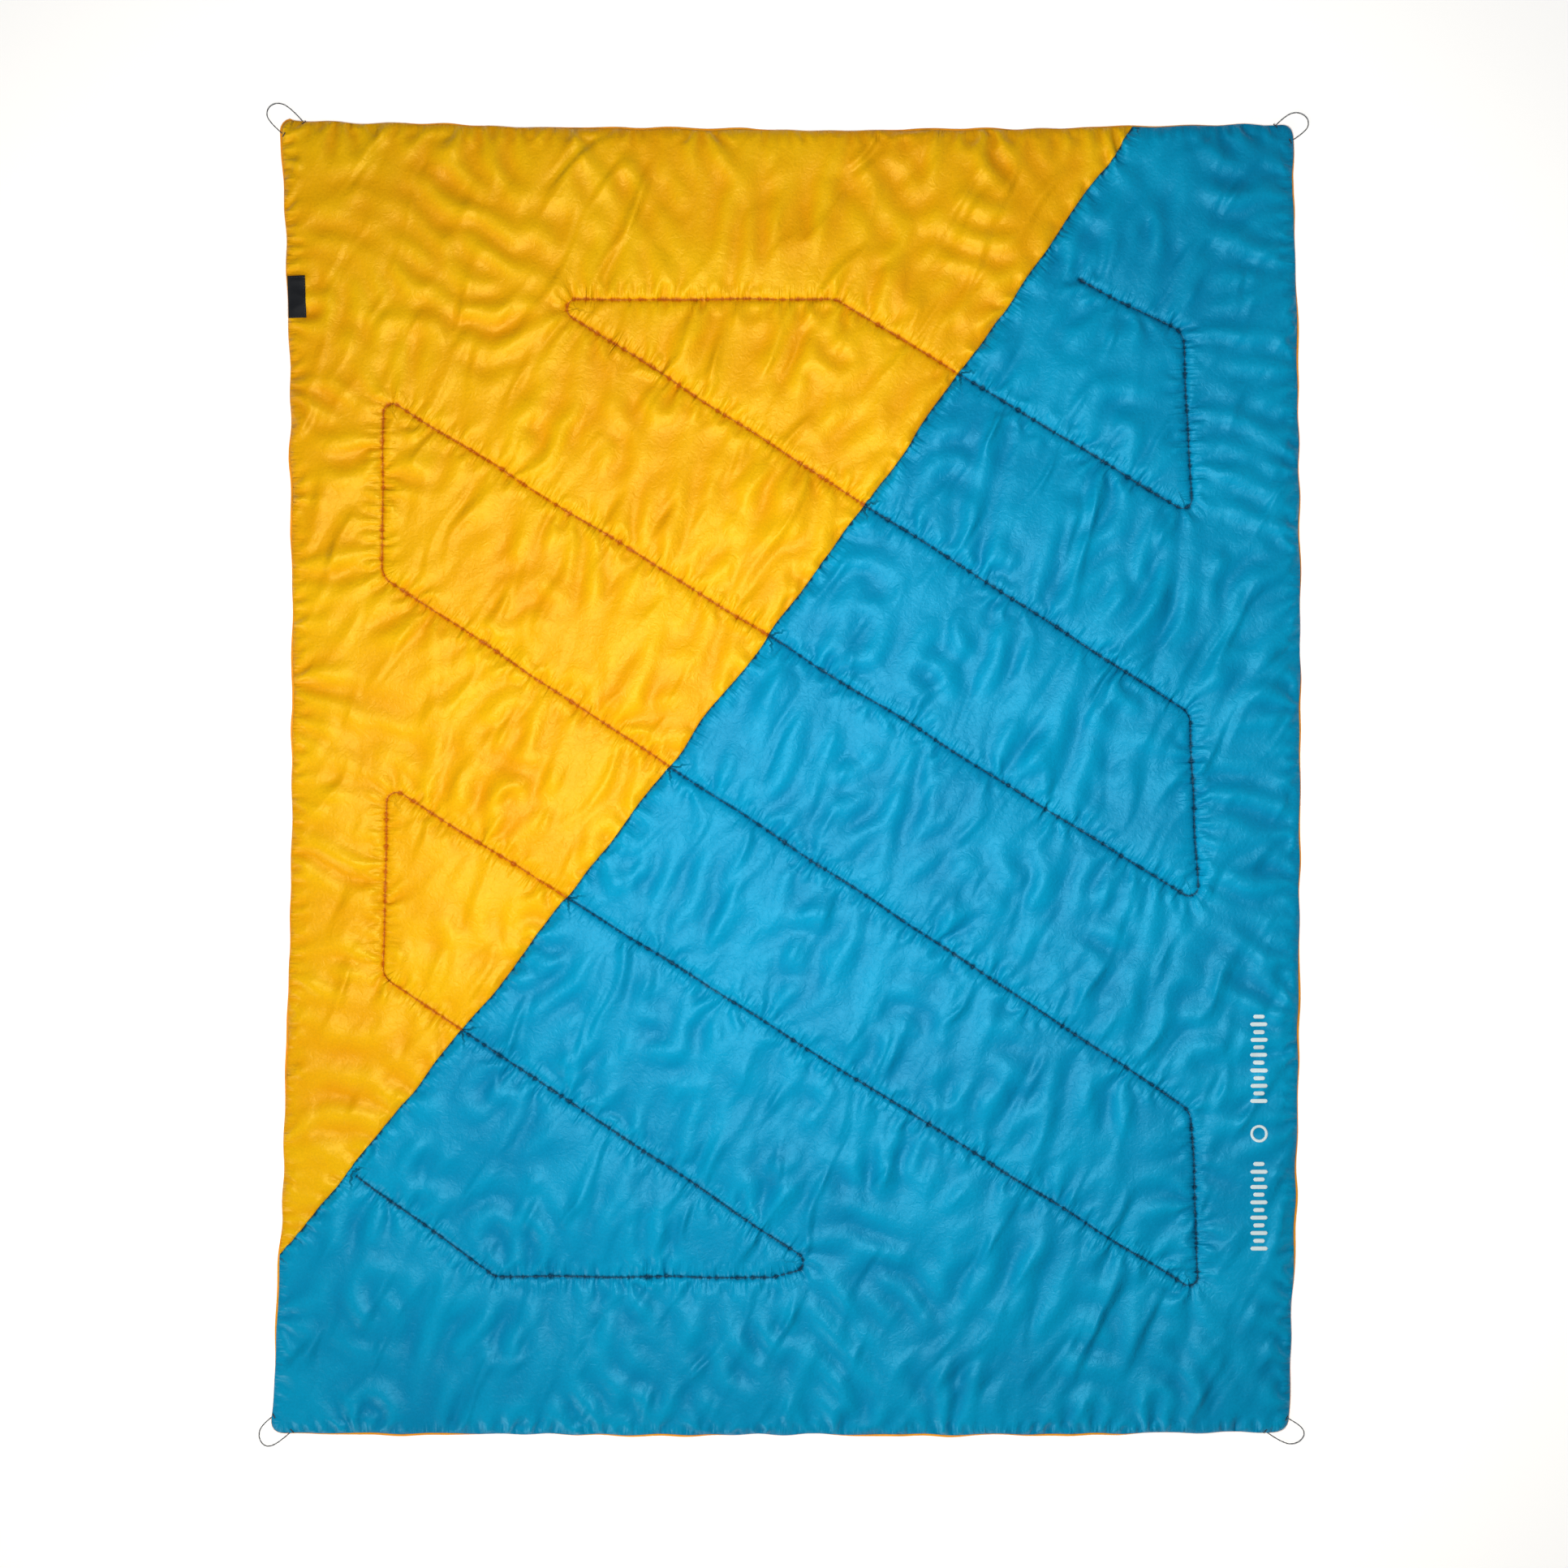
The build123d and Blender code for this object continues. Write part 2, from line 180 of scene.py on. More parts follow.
def finish_piece(
    piece: Object, materials: Sequence[Material], nodes: Sequence[str], ride: bool = True
) -> Object:
    """Dresses a finished piece and hides the nodes that it stands for.

    Args:
        piece: the piece.
        materials: its materials, in the order that its faces number them.
        nodes: nodes that it replaces.
        ride: whether it rides on the blanket; a blended piece doesn't.

    Returns:
        The same piece.
    """
    for material in materials:
        piece.data.materials.append(material)
    if nodes:
        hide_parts(*nodes)
    if ride:
        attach(piece, "blanket")
    log.info("%s: %d faces", piece.name, len(piece.data.polygons))
    return piece


# --- Finishes -----------------------------------------------------------------------------------
@dataclass(frozen=True)
class SurfaceFinish:
    """What every finish shares: a name, a main colour and the material that it is drawn in."""

    name: str
    colour: str

    def surface(self, tree: NodeTree, place: NodeSocket) -> NodeSocket:
        """Draws the surface; each kind of finish has its own."""
        raise NotImplementedError

    def build(self) -> Material:
        """Makes the material.

        Returns:
            The material, with the surface of this kind of finish.
        """
        material = bpy.data.materials.new(self.name)
        material.use_nodes = True
        tree = material.node_tree
        tree.nodes.clear()
        place = add_node(tree, "TexCoord").outputs["Object"]
        add_node(tree, "OutputMaterial", links={"Surface": self.surface(tree, place)})
        return material


@dataclass(frozen=True)
class TaffetaFinish(SurfaceFinish):
    """Downproof polyester taffeta: a flat, tight plain weave, calendered so that it shines softly."""

    deep_tone_and_shade: str  # a deeper tone of the dye in broad cloudy patches, and painted shade in the hollows
    bright: str  # colour of the soft sheen
    seam: str  # painted shade down in a row of stitches, where the gathers close over the thread
    roughness: float = 0.4
    yarn_mm: float = 0.9  # the real yarns are 0.15 mm apart; drawn coarser so that they show
    cloud_mm: float = 170.0
    fleck_mm: float = 3.0
    hollow_shade_mm: float = 15.0  # painted shade: a hollow this deep takes the deeper colour
    pucker_mm: float = 8.0  # spacing of the finest gathers beside a row of stitches
    pucker_length_mm: float = 52.0
    seam_shade_mm: tuple[float, float] = (7.6, 13.2)  # where the painted shade of a row begins and ends
    dart_shade_mm: float = 16.0  # how far the painted shade runs out between the gathers
    fade_mm: tuple[float, float] = (1.0, 32.0)  # where the gathers begin to fade and end
    crinkle_mm: float = 9.0  # size of the small dents of fabric that was packed
    crease_mm: float = 52.0  # distance between the sharper creases that packing leaves
    crease_length_mm: float = 130.0
    crease_turn: float = math.radians(62)  # the creases run across the quilting's rows

    def colour_with_painted_shade(self, tree: NodeTree, place: NodeSocket, beside: Node, gather: Node) -> NodeSocket:
        """Draws the colour: cloudy, with painted shade in the hollows and down in the rows of stitches.

        Args:
            tree: the material's nodes.
            place: the point's place on the piece.
            beside: its place beside the stitching, and its height above the cloth around it.
            gather: the gathers.

        Returns:
            The colour.
        """
        cloud = add_node(tree, "TexNoise", {"Scale": cells(self.cloud_mm), "Detail": 3.0}, {"Vector": place})
        fleck = add_node(tree, "TexNoise", {"Scale": cells(self.fleck_mm), "Detail": 2.0}, {"Vector": place})
        # painted shade: the colour turns to the deeper tone in the hollows, as well as in random cloudy
        # patches
        folded = add_node(
            tree,
            "Math",
            {"operation": "MULTIPLY_ADD", 1: -1 / (self.hollow_shade_mm * MM)},
            {0: beside.outputs["Z"], 2: cloud.outputs["Fac"]},
        )
        blend = add_node(
            tree,
            "MapRange",
            {"From Min": 0.3, "From Max": 0.78, "To Min": 0.0, "To Max": 0.65},
            {"Value": folded.outputs[0]},
        )
        tone_and_hollow_shade = add_node(
            tree,
            "Mix",
            {"data_type": "RGBA", 6: linear(self.colour), 7: linear(self.deep_tone_and_shade)},
            {0: blend.outputs["Result"]},
        )
        # painted shade: the cloth darkens to the seam colour down in the rows of stitches, in darts between
        # the gathers
        dart = add_node(
            tree,
            "Math",
            {"operation": "MULTIPLY_ADD", 1: self.dart_shade_mm * MM},
            {0: gather.outputs["Fac"], 2: beside.outputs["Y"]},
        )
        near = add_node(
            tree,
            "MapRange",
            {
                "interpolation_type": "SMOOTHSTEP",
                "From Min": self.seam_shade_mm[0] * MM,
                "From Max": self.seam_shade_mm[1] * MM,
                "To Min": 0.92,
                "To Max": 0.0,
            },
            {"Value": dart.outputs[0]},
        )
        shaded = add_node(
            tree,
            "Mix",
            {"data_type": "RGBA", 7: linear(self.seam)},
            {0: near.outputs["Result"], 6: tone_and_hollow_shade.outputs[2]},
        )
        flecked = add_node(
            tree,
            "MapRange",
            {"From Min": 0.3, "From Max": 0.7, "To Min": 0.94, "To Max": 1.05},
            {"Value": fleck.outputs["Fac"]},
        )
        colour = add_node(
            tree, "HueSaturation", {}, {"Color": shaded.outputs[2], "Value": flecked.outputs["Result"]}
        )
        return colour.outputs["Color"]

    def weave(self, tree: NodeTree, place: NodeSocket) -> NodeSocket:
        """Draws the height of the woven yarns.

        Args:
            tree: the material's nodes.
            place: the point's place on the piece.

        Returns:
            The height, from 0 to 1.
        """
        yarns = {"Scale": bands(self.yarn_mm), "Distortion": 0.6, "Detail Scale": 2.0}
        warp, weft = (
            add_node(tree, "TexWave", {"bands_direction": way, **yarns}, {"Vector": place}).outputs["Fac"]
            for way in "XY"
        )
        return add_node(tree, "Math", {"operation": "MULTIPLY"}, {0: warp, 1: weft}).outputs[0]

    def surface(self, tree: NodeTree, place: NodeSocket) -> NodeSocket:
        """Draws the weave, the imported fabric's crinkles and creases, and the gathers beside the stitching.

        Args:
            tree: the material's nodes.
            place: the point's place on the piece.

        Returns:
            The surface's shader.
        """
        stitch = add_node(tree, "Attribute", {"attribute_name": "stitch_place"}).outputs["Vector"]
        beside = add_node(tree, "SeparateXYZ", links={0: stitch})
        pucker = (cells(self.pucker_mm), cells(self.pucker_length_mm), 1.0)
        along = add_node(tree, "Mapping", {"Scale": pucker}, {"Vector": stitch})
        gather = add_node(
            tree,
            "TexNoise",
            {"Scale": 1.0, "Detail": 1.5, "Distortion": 0.35},
            {"Vector": along.outputs["Vector"]},
        )
        crinkle = add_node(
            tree,
            "TexNoise",
            {"Scale": cells(self.crinkle_mm), "Detail": 3.0, "Roughness": 0.55, "Distortion": 0.8},
            {"Vector": place},
        )
        slanted = add_node(
            tree,
            "Mapping",
            {
                "vector_type": "TEXTURE",
                "Rotation": (0.0, 0.0, self.crease_turn),
                "Scale": (self.crease_length_mm * MM, self.crease_mm * MM, 1.0),
            },
            {"Vector": place},
        )
        crease = add_node(
            tree,
            "TexNoise",
            {
                "noise_type": "RIDGED_MULTIFRACTAL",
                "Scale": 1.0,
                "Detail": 2.5,
                "Roughness": 0.5,
                "Distortion": 0.7,
            },
            {"Vector": slanted.outputs["Vector"]},
        )
        fade = add_node(
            tree,
            "MapRange",
            {
                "interpolation_type": "SMOOTHSTEP",
                "From Min": self.fade_mm[0] * MM,
                "From Max": self.fade_mm[1] * MM,
                "To Min": 1.0,
                "To Max": 0.0,
            },
            {"Value": beside.outputs["Y"]},
        )
        links: dict[str, NodeSocket] = {}
        for height, depth_mm, strength in (
            (self.weave(tree, place), 0.02, 0.5),
            (crease.outputs["Fac"], 14.0, 0.9),
            (crinkle.outputs["Fac"], 1.5, 0.6),
            (gather.outputs["Fac"], 6.0, fade.outputs["Result"]),
        ):
            settings = {"Distance": depth_mm * MM}
            links["Height"] = height
            if isinstance(strength, float):
                settings["Strength"] = strength
            else:
                links["Strength"] = strength
            links = {"Normal": add_node(tree, "Bump", settings, links).outputs["Normal"]}
        gloss = add_node(
            tree,
            "MapRange",
            {"To Min": self.roughness - 0.05, "To Max": self.roughness + 0.07},
            {"Value": crinkle.outputs["Fac"]},
        )
        links["Base Color"] = self.colour_with_painted_shade(tree, place, beside, gather)
        links["Roughness"] = gloss.outputs["Result"]
        settings = {
            "IOR": 1.5,
            "Specular IOR Level": 0.5,
            "Sheen Weight": 0.08,
            "Sheen Roughness": 0.35,
            "Sheen Tint": linear(self.bright),
            "Specular Tint": linear(self.bright),
        }
        return add_node(tree, "BsdfPrincipled", settings, links).outputs[0]


@dataclass(frozen=True)
class YarnFinish(SurfaceFinish):
    """Twisted or braided polyester yarn: fine slanting fibres with a dull shine."""

    other: str  # the lighter fibres that catch the light
    fibre_mm: float = 0.35  # real filaments are 0.02 mm; drawn coarser so that they show
    mottle_mm: float = 1.4
    roughness: float = 0.55

    def surface(self, tree: NodeTree, place: NodeSocket) -> NodeSocket:
        """Draws streaky fibres, lighter and darker, with a fine bump.

        Args:
            tree: the material's nodes.
            place: the point's place on the piece.

        Returns:
            The surface's shader.
        """
        fibres = add_node(
            tree,
            "TexWave",
            {"bands_direction": "DIAGONAL", "Scale": bands(self.fibre_mm), "Distortion": 2.5, "Detail": 2.0},
            {"Vector": place},
        ).outputs["Fac"]
        specks = {"Scale": cells(self.mottle_mm), "Detail": 3.0}
        mottle = add_node(tree, "TexNoise", specks, {"Vector": place})
        mix = add_node(tree, "Math", {"operation": "MULTIPLY"}, {0: fibres, 1: mottle.outputs["Fac"]})
        colours = {"data_type": "RGBA", 6: linear(self.colour), 7: linear(self.other)}
        colour = add_node(tree, "Mix", colours, {0: mix.outputs[0]})
        bump = add_node(tree, "Bump", {"Strength": 0.6, "Distance": 0.06 * MM}, {"Height": fibres})
        return add_node(
            tree,
            "BsdfPrincipled",
            {"IOR": 1.5, "Roughness": self.roughness, "Sheen Weight": 0.15},
            {"Base Color": colour.outputs[2], "Normal": bump.outputs["Normal"]},
        ).outputs[0]


@dataclass(frozen=True)
class PlainFinish(SurfaceFinish):
    """A matt sheet or film with a fine surface: batting, woven damask, heat-transfer film or paper."""

    other: str
    grain_mm: float
    depth_mm: float
    roughness: float = 0.7
    glow: float = 0.0  # light of a lit backdrop
    ribbed: bool = False  # fine ribs across the piece, as in a damask ribbon

    def surface(self, tree: NodeTree, place: NodeSocket) -> NodeSocket:
        """Draws grain in colour and bump, or ribs if it is woven in ribs.

        Args:
            tree: the material's nodes.
            place: the point's place on the piece.

        Returns:
            The surface's shader.
        """
        kind, settings = "TexNoise", {"Scale": cells(self.grain_mm), "Detail": 4.0}
        if self.ribbed:
            kind = "TexWave"
            settings = {"bands_direction": "Y", "Scale": bands(self.grain_mm), "Distortion": 0.8}
        grain = add_node(tree, kind, settings, {"Vector": place}).outputs["Fac"]
        colours = {"data_type": "RGBA", 6: linear(self.colour), 7: linear(self.other)}
        colour = add_node(tree, "Mix", colours, {0: grain}).outputs[2]
        bump = add_node(tree, "Bump", {"Strength": 0.6, "Distance": self.depth_mm * MM}, {"Height": grain})
        settings = {"IOR": 1.5, "Specular IOR Level": 0.2, "Roughness": self.roughness}
        settings["Emission Strength"] = self.glow
        links = {"Base Color": colour, "Emission Color": colour, "Normal": bump.outputs["Normal"]}
        return add_node(tree, "BsdfPrincipled", settings, links).outputs[0]


class Finish(Enum):
    """Every finish on the blanket."""

    # taffeta colours: the fabric, its deeper tone that also paints shade in the hollows, its sheen tint, and
    # the painted shade down in the rows of stitches
    GOLD = TaffetaFinish("calendered polyester taffeta, gold", "#ECB404", "#E08A00", "#FFE27A", "#B85200")
    TEAL = TaffetaFinish("calendered polyester taffeta, teal", "#0094C2", "#0070A2", "#6FC8EC", "#002745")
    AMBER = TaffetaFinish("calendered polyester taffeta, amber", "#FAA828", "#EE9014", "#FFD48A", "#B85200")
    BATTING = PlainFinish("polyester batting", "#F2F1EC", "#DAD8D0", 4.0, 0.8, 0.9)
    AMBER_THREAD = YarnFinish("smoke filament thread over gold", "#A45400", "#CC7A0C")
    NAVY_THREAD = YarnFinish("smoke filament thread over teal", "#062B45", "#0C4F74")
    SEAM_THREAD = YarnFinish("spun polyester thread", "#C98A1C", "#E2B04A")
    TACK_THREAD = YarnFinish("dense polyester bar-tack thread", "#14161A", "#33373D")
    DARK_CORD = YarnFinish("braided polyester cord, charcoal", "#2B2D31", "#55585E")
    PALE_CORD = YarnFinish("braided polyester cord, grey fleck", "#8D9096", "#C4C6CA")
    LABEL = PlainFinish("woven damask ribbon", "#0E1014", "#1E2126", 0.7, 0.08, 0.6, ribbed=True)
    FILM = PlainFinish("matt heat-transfer film", "#C6DCE3", "#D9E8EC", 1.5, 0.03, 0.55)
    FLOOR = PlainFinish("matt seamless paper", "#FFFFFF", "#FBFBFA", 3.0, 0.05, 0.9, glow=0.33)

    @property
    def material(self) -> Material:
        """The finish's material, made the first time that it is asked for."""
        return bpy.data.materials.get(self.value.name) or self.value.build()


# --- Studio -------------------------------------------------------------------------------------
@dataclass
class Studio:
    """Camera straight above the blanket, pale floor and soft lamps from the foot of the blanket."""

    lens_mm: float = 100.0
    sensor_mm: float = 36.0
    view_width: float = 2.353  # metres of floor from side to side of the view
    view_middle: tuple[float, float] = (-0.003, -0.0097)
    floor_size: float = 30.0

    def camera(self) -> None:
        """Sets up the camera, looking straight down with the top edge up."""
        data = bpy.data.cameras.new("overhead_camera")
        data.lens, data.sensor_width = self.lens_mm, self.sensor_mm
        camera = bpy.data.objects.new("overhead_camera", data)
        height = self.view_width * self.lens_mm / self.sensor_mm
        camera.location = (*self.view_middle, height + 10 * MM)
        bpy.context.scene.collection.objects.link(camera)
        bpy.context.scene.camera = camera

    def lamp(self, name: str, place: Sequence[float], size: float, watts: float, tint: str) -> None:
        """Adds a soft square lamp that faces the blanket's middle.

        Args:
            name: the lamp's name.
            place: where it hangs, in metres.
            size: length of its sides, in metres.
            watts: its power.
            tint: its colour.
        """
        data = bpy.data.lights.new(name, "AREA")
        data.size, data.energy, data.color = size, watts, linear(tint)[:3]
        lamp = bpy.data.objects.new(name, data)
        lamp.location = place
        lamp.rotation_euler = (-Vector(place)).to_track_quat("-Z", "Y").to_euler()
        bpy.context.scene.collection.objects.link(lamp)

    def build(self) -> None:
        """Builds the floor, the lamps and the pale surroundings."""
        deselect()
        bpy.ops.mesh.primitive_plane_add(size=self.floor_size, location=(0, 0, -0.2 * MM))
        floor = bpy.context.object
        floor.name = "paper_floor"
        bpy.ops.object.transform_apply(location=True, rotation=True, scale=True)
        floor.data.materials.append(Finish.FLOOR.material)
        self.lamp("overhead_softbox", (-0.1, -0.05, 1.95), 0.8, 39, "#FFFBF4")
        self.lamp("key_lamp", (-6.0, -7.5, 3.3), 1.8, 335, "#FFF8EE")
        self.lamp("fill_lamp", (2.8, 2.4, 3.2), 2.4, 10, "#F2F7FF")
        world = bpy.data.worlds.new("pale_studio")
        world.use_nodes = True
        bpy.context.scene.world = world
        sky = world.node_tree.nodes["Background"].inputs
        sky["Color"].default_value, sky["Strength"].default_value = linear("#F4F7FA"), 0.2
        bpy.context.scene.view_settings.view_transform = "Standard"


# --- Corner loops -------------------------------------------------------------------------------
@dataclass
class CordLoop:
    """One corner loop: a braided cord whose two ends are sewn into the edge."""

    corner: str
    route: list[tuple[float, float]]  # metres, from one sewn-in end round the loop to the other
    exit: tuple[float, float]
    length: float
    hinge: list[tuple[float, float]]  # where the loop's two sides start to swing
    height: float = 1.52 * MM
    diameter: float = 2.0 * MM
    strands: int = 8
    strand_radius: float = 0.34 * MM
    lay_length: float = 7.0 * MM  # distance along the cord in which a strand goes once round it
    sides: int = 5
    step: float = 0.55 * MM  # distance along the cord between a strand's points
    flatness: float = 1.5  # how much wider a strand is than high
    pale: tuple[int, ...] = (1, 4)  # strands of the paler yarn
    bend: float = 5 * MM  # length over which the loop bends where it leaves the edge

    def centre_line(self) -> np.ndarray:
        """Reads the cord's smooth centre line from its spline.

        Returns:
            Points along the spline, in metres.
        """
        data = bpy.data.curves.new(f"{self.corner}_route", "CURVE")
        data.dimensions, data.resolution_u = "3D", 32
        spline = data.splines.new("NURBS")
        spline.points.add(len(self.route) - 1)
        for point, (x, y) in zip(spline.points, self.route):
            point.co = (x, y, self.height, 1.0)
        spline.order_u, spline.use_endpoint_u = 3, True
        holder = bpy.data.objects.new(f"{self.corner}_route", data)
        mesh = bpy.data.meshes.new_from_object(holder)
        line = np.array([v.co for v in mesh.vertices])
        bpy.data.objects.remove(holder)
        bpy.data.curves.remove(data)
        bpy.data.meshes.remove(mesh)
        return line

    def braid(self, line: np.ndarray) -> Object:
        """Winds the strands of the braid round the centre line.

        Args:
            line: points along the centre line.

        Returns:
            The braided cord, with the strands that lighten it in a second material.
        """
        run = run_of(line)
        count = int(run[-1] / self.step) + 1
        s = np.linspace(0, run[-1], count)
        middle = points_at(line, run, s)
        side = np.cross(UP, unit(np.gradient(middle, axis=0)))
        reach = self.diameter / 2 - self.strand_radius
        points, faces, tints = [], [], []
        for strand in range(self.strands):
            way = 1 if strand % 2 else -1
            turn = way * 2 * math.pi * s / self.lay_length + 2 * math.pi * strand / self.strands
            beat = self.strands * s * math.pi / self.lay_length * 2 + strand * math.pi
            radius = reach + 0.5 * self.strand_radius * (np.cos(beat) - 1)
            spoke = side * np.cos(turn)[:, None] + UP * np.sin(turn)[:, None]
            core = middle + spoke * radius[:, None]
            across = np.cross(unit(np.gradient(core, axis=0)), spoke)
            first = sum(len(p) for p in points)
            for k in range(self.sides):
                a = 2 * math.pi * k / self.sides
                shell = across * math.cos(a) * self.flatness + spoke * math.sin(a)
                points.append(core + shell * self.strand_radius)
            for k in range(self.sides):
                low, high = first + k * count, first + ((k + 1) % self.sides) * count
                faces += [(low + i, low + i + 1, high + i + 1, high + i) for i in range(count - 1)]
            faces.append([first + k * count for k in range(self.sides)])
            faces.append([first + k * count + count - 1 for k in reversed(range(self.sides))])
            tints += [int(strand in self.pale)] * (self.sides * (count - 1) + 2)
        piece = mesh_piece(f"loop_cord_{self.corner}", np.vstack(points), faces)
        piece.data.polygons.foreach_set("material_index", np.array(tints, np.int32))
        return piece

    def build(self) -> Object:
        """Builds the cord and dresses it.

        Returns:
            The finished cord.
        """
        line = self.centre_line()
        piece = self.braid(line)
        finish_piece(
            piece,
            [Finish.DARK_CORD.material, Finish.PALE_CORD.material],
            [f"corner_loop_{self.corner}", f"loop_tails_{self.corner}"],
            ride=False,
        )
        first, last = (np.array([x, y, self.height]) for x, y in self.hinge)
        outward = np.cross(UP, last - first)
        outward /= np.linalg.norm(outward)
        middle = (first + last) / 2
        if (line[len(line) // 2] - middle) @ outward < 0:
            outward = -outward
        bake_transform(piece)
        return piece


CORD_LOOPS = [
    CordLoop(
        "top_left",
        [
            (-0.7208, 0.9801), (-0.745, 1.008), (-0.766, 1.015),
            (-0.781, 1.004), (-0.778, 0.985), (-0.7501, 0.9619),
        ],
        (-0.726, 0.9861),
        0.1289,
        [(-0.729277, 0.989877), (-0.760148, 0.970192)],
    ),
    CordLoop(
        "top_right",
        [(0.7315, 0.9755), (0.749, 0.994), (0.769, 1.001), (0.786, 0.99), (0.783, 0.97), (0.7531, 0.9531)],
        (0.737, 0.9813),
        0.1166,
        [(0.740434, 0.984934), (0.764448, 0.959468)],
    ),
    CordLoop(
        "bottom_right",
        [
            (0.7478, -0.9594), (0.771, -0.971), (0.781, -0.986),
            (0.769, -1.001), (0.746, -1.001), (0.7155, -0.9787),
        ],
        (0.755, -0.963),
        0.1194,
        [(0.759472, -0.965236), (0.726032, -0.986357)],
    ),
    CordLoop(
        "bottom_left",
        [
            (-0.7381, -0.9779), (-0.761, -0.999), (-0.781, -1.007),
            (-0.793, -0.993), (-0.789, -0.972), (-0.765, -0.9555),
        ],
        (-0.744, -0.9833),
        0.1171,
        [(-0.747673, -0.986692), (-0.775716, -0.962839)],
    ),
]


# --- Plan of the blanket ------------------------------------------------------------------------
def circle_centre(a: complex, b: complex, c: complex) -> complex:
    """Centre of the circle through three points."""
    turn = (c - a) / (b - a)
    return (b - a) * (turn - abs(turn) ** 2) / (turn - turn.conjugate()) + a


def arc(start: Sequence[float], middle: Sequence[float], end: Sequence[float], count: int) -> np.ndarray:
    """Points along the circular arc through three points.

    Args:
        start: the arc's first point.
        middle: a point on the way.
        end: its last point.
        count: how many points to give.

    Returns:
        The points, evenly spaced.
    """
    a, b, c = (complex(*p) for p in (start, middle, end))
    centre = circle_centre(a, b, c)
    sweep = np.angle((b - centre) / (a - centre)) + np.angle((c - centre) / (b - centre))
    way = (a - centre) * np.exp(1j * sweep * np.linspace(0, 1, count)) + centre
    return np.stack([way.real, way.imag], 1)


def unit(rows: np.ndarray) -> np.ndarray:
    """The same directions with a length of one."""
    return rows / np.linalg.norm(rows, axis=1)[:, None]


def left_of(way: np.ndarray) -> np.ndarray:
    """Directions to the left of flat directions."""
    return np.stack([-way[:, 1], way[:, 0]], 1)


def run_of(line: np.ndarray) -> np.ndarray:
    """Distance along a line to each of its points."""
    return np.concatenate([[0], np.cumsum(np.linalg.norm(np.diff(line, axis=0), axis=1))])


def points_at(line: np.ndarray, run: np.ndarray, places: np.ndarray) -> np.ndarray:
    """Points of a line at the given distances along it, where run is the distance to each of its own."""
    return np.stack([np.interp(places, run, line[:, k]) for k in range(line.shape[1])], 1)


def spaced(line: np.ndarray, gap: float) -> np.ndarray:
    """The same line with points an even gap apart, as near as its length allows."""
    run = run_of(line)
    return points_at(line, run, np.linspace(0, run[-1], max(2, round(run[-1] / gap) + 1)))


def wander(line: np.ndarray, reach: float, wavelength: float, seed: int) -> np.ndarray:
    """Shifts a line sideways by the small unevenness of real sewing.

    Args:
        line: the line's points.
        reach: how far it strays at most places; nowhere more than twice that.
        wavelength: usual distance between its bends.
        seed: seed of the unevenness.

    Returns:
        The shifted points.
    """
    shift = reach * smooth_noise(line, wavelength, seed)[:, None]
    return line + left_of(unit(np.gradient(line, axis=0))) * np.clip(shift, -2 * reach, 2 * reach)


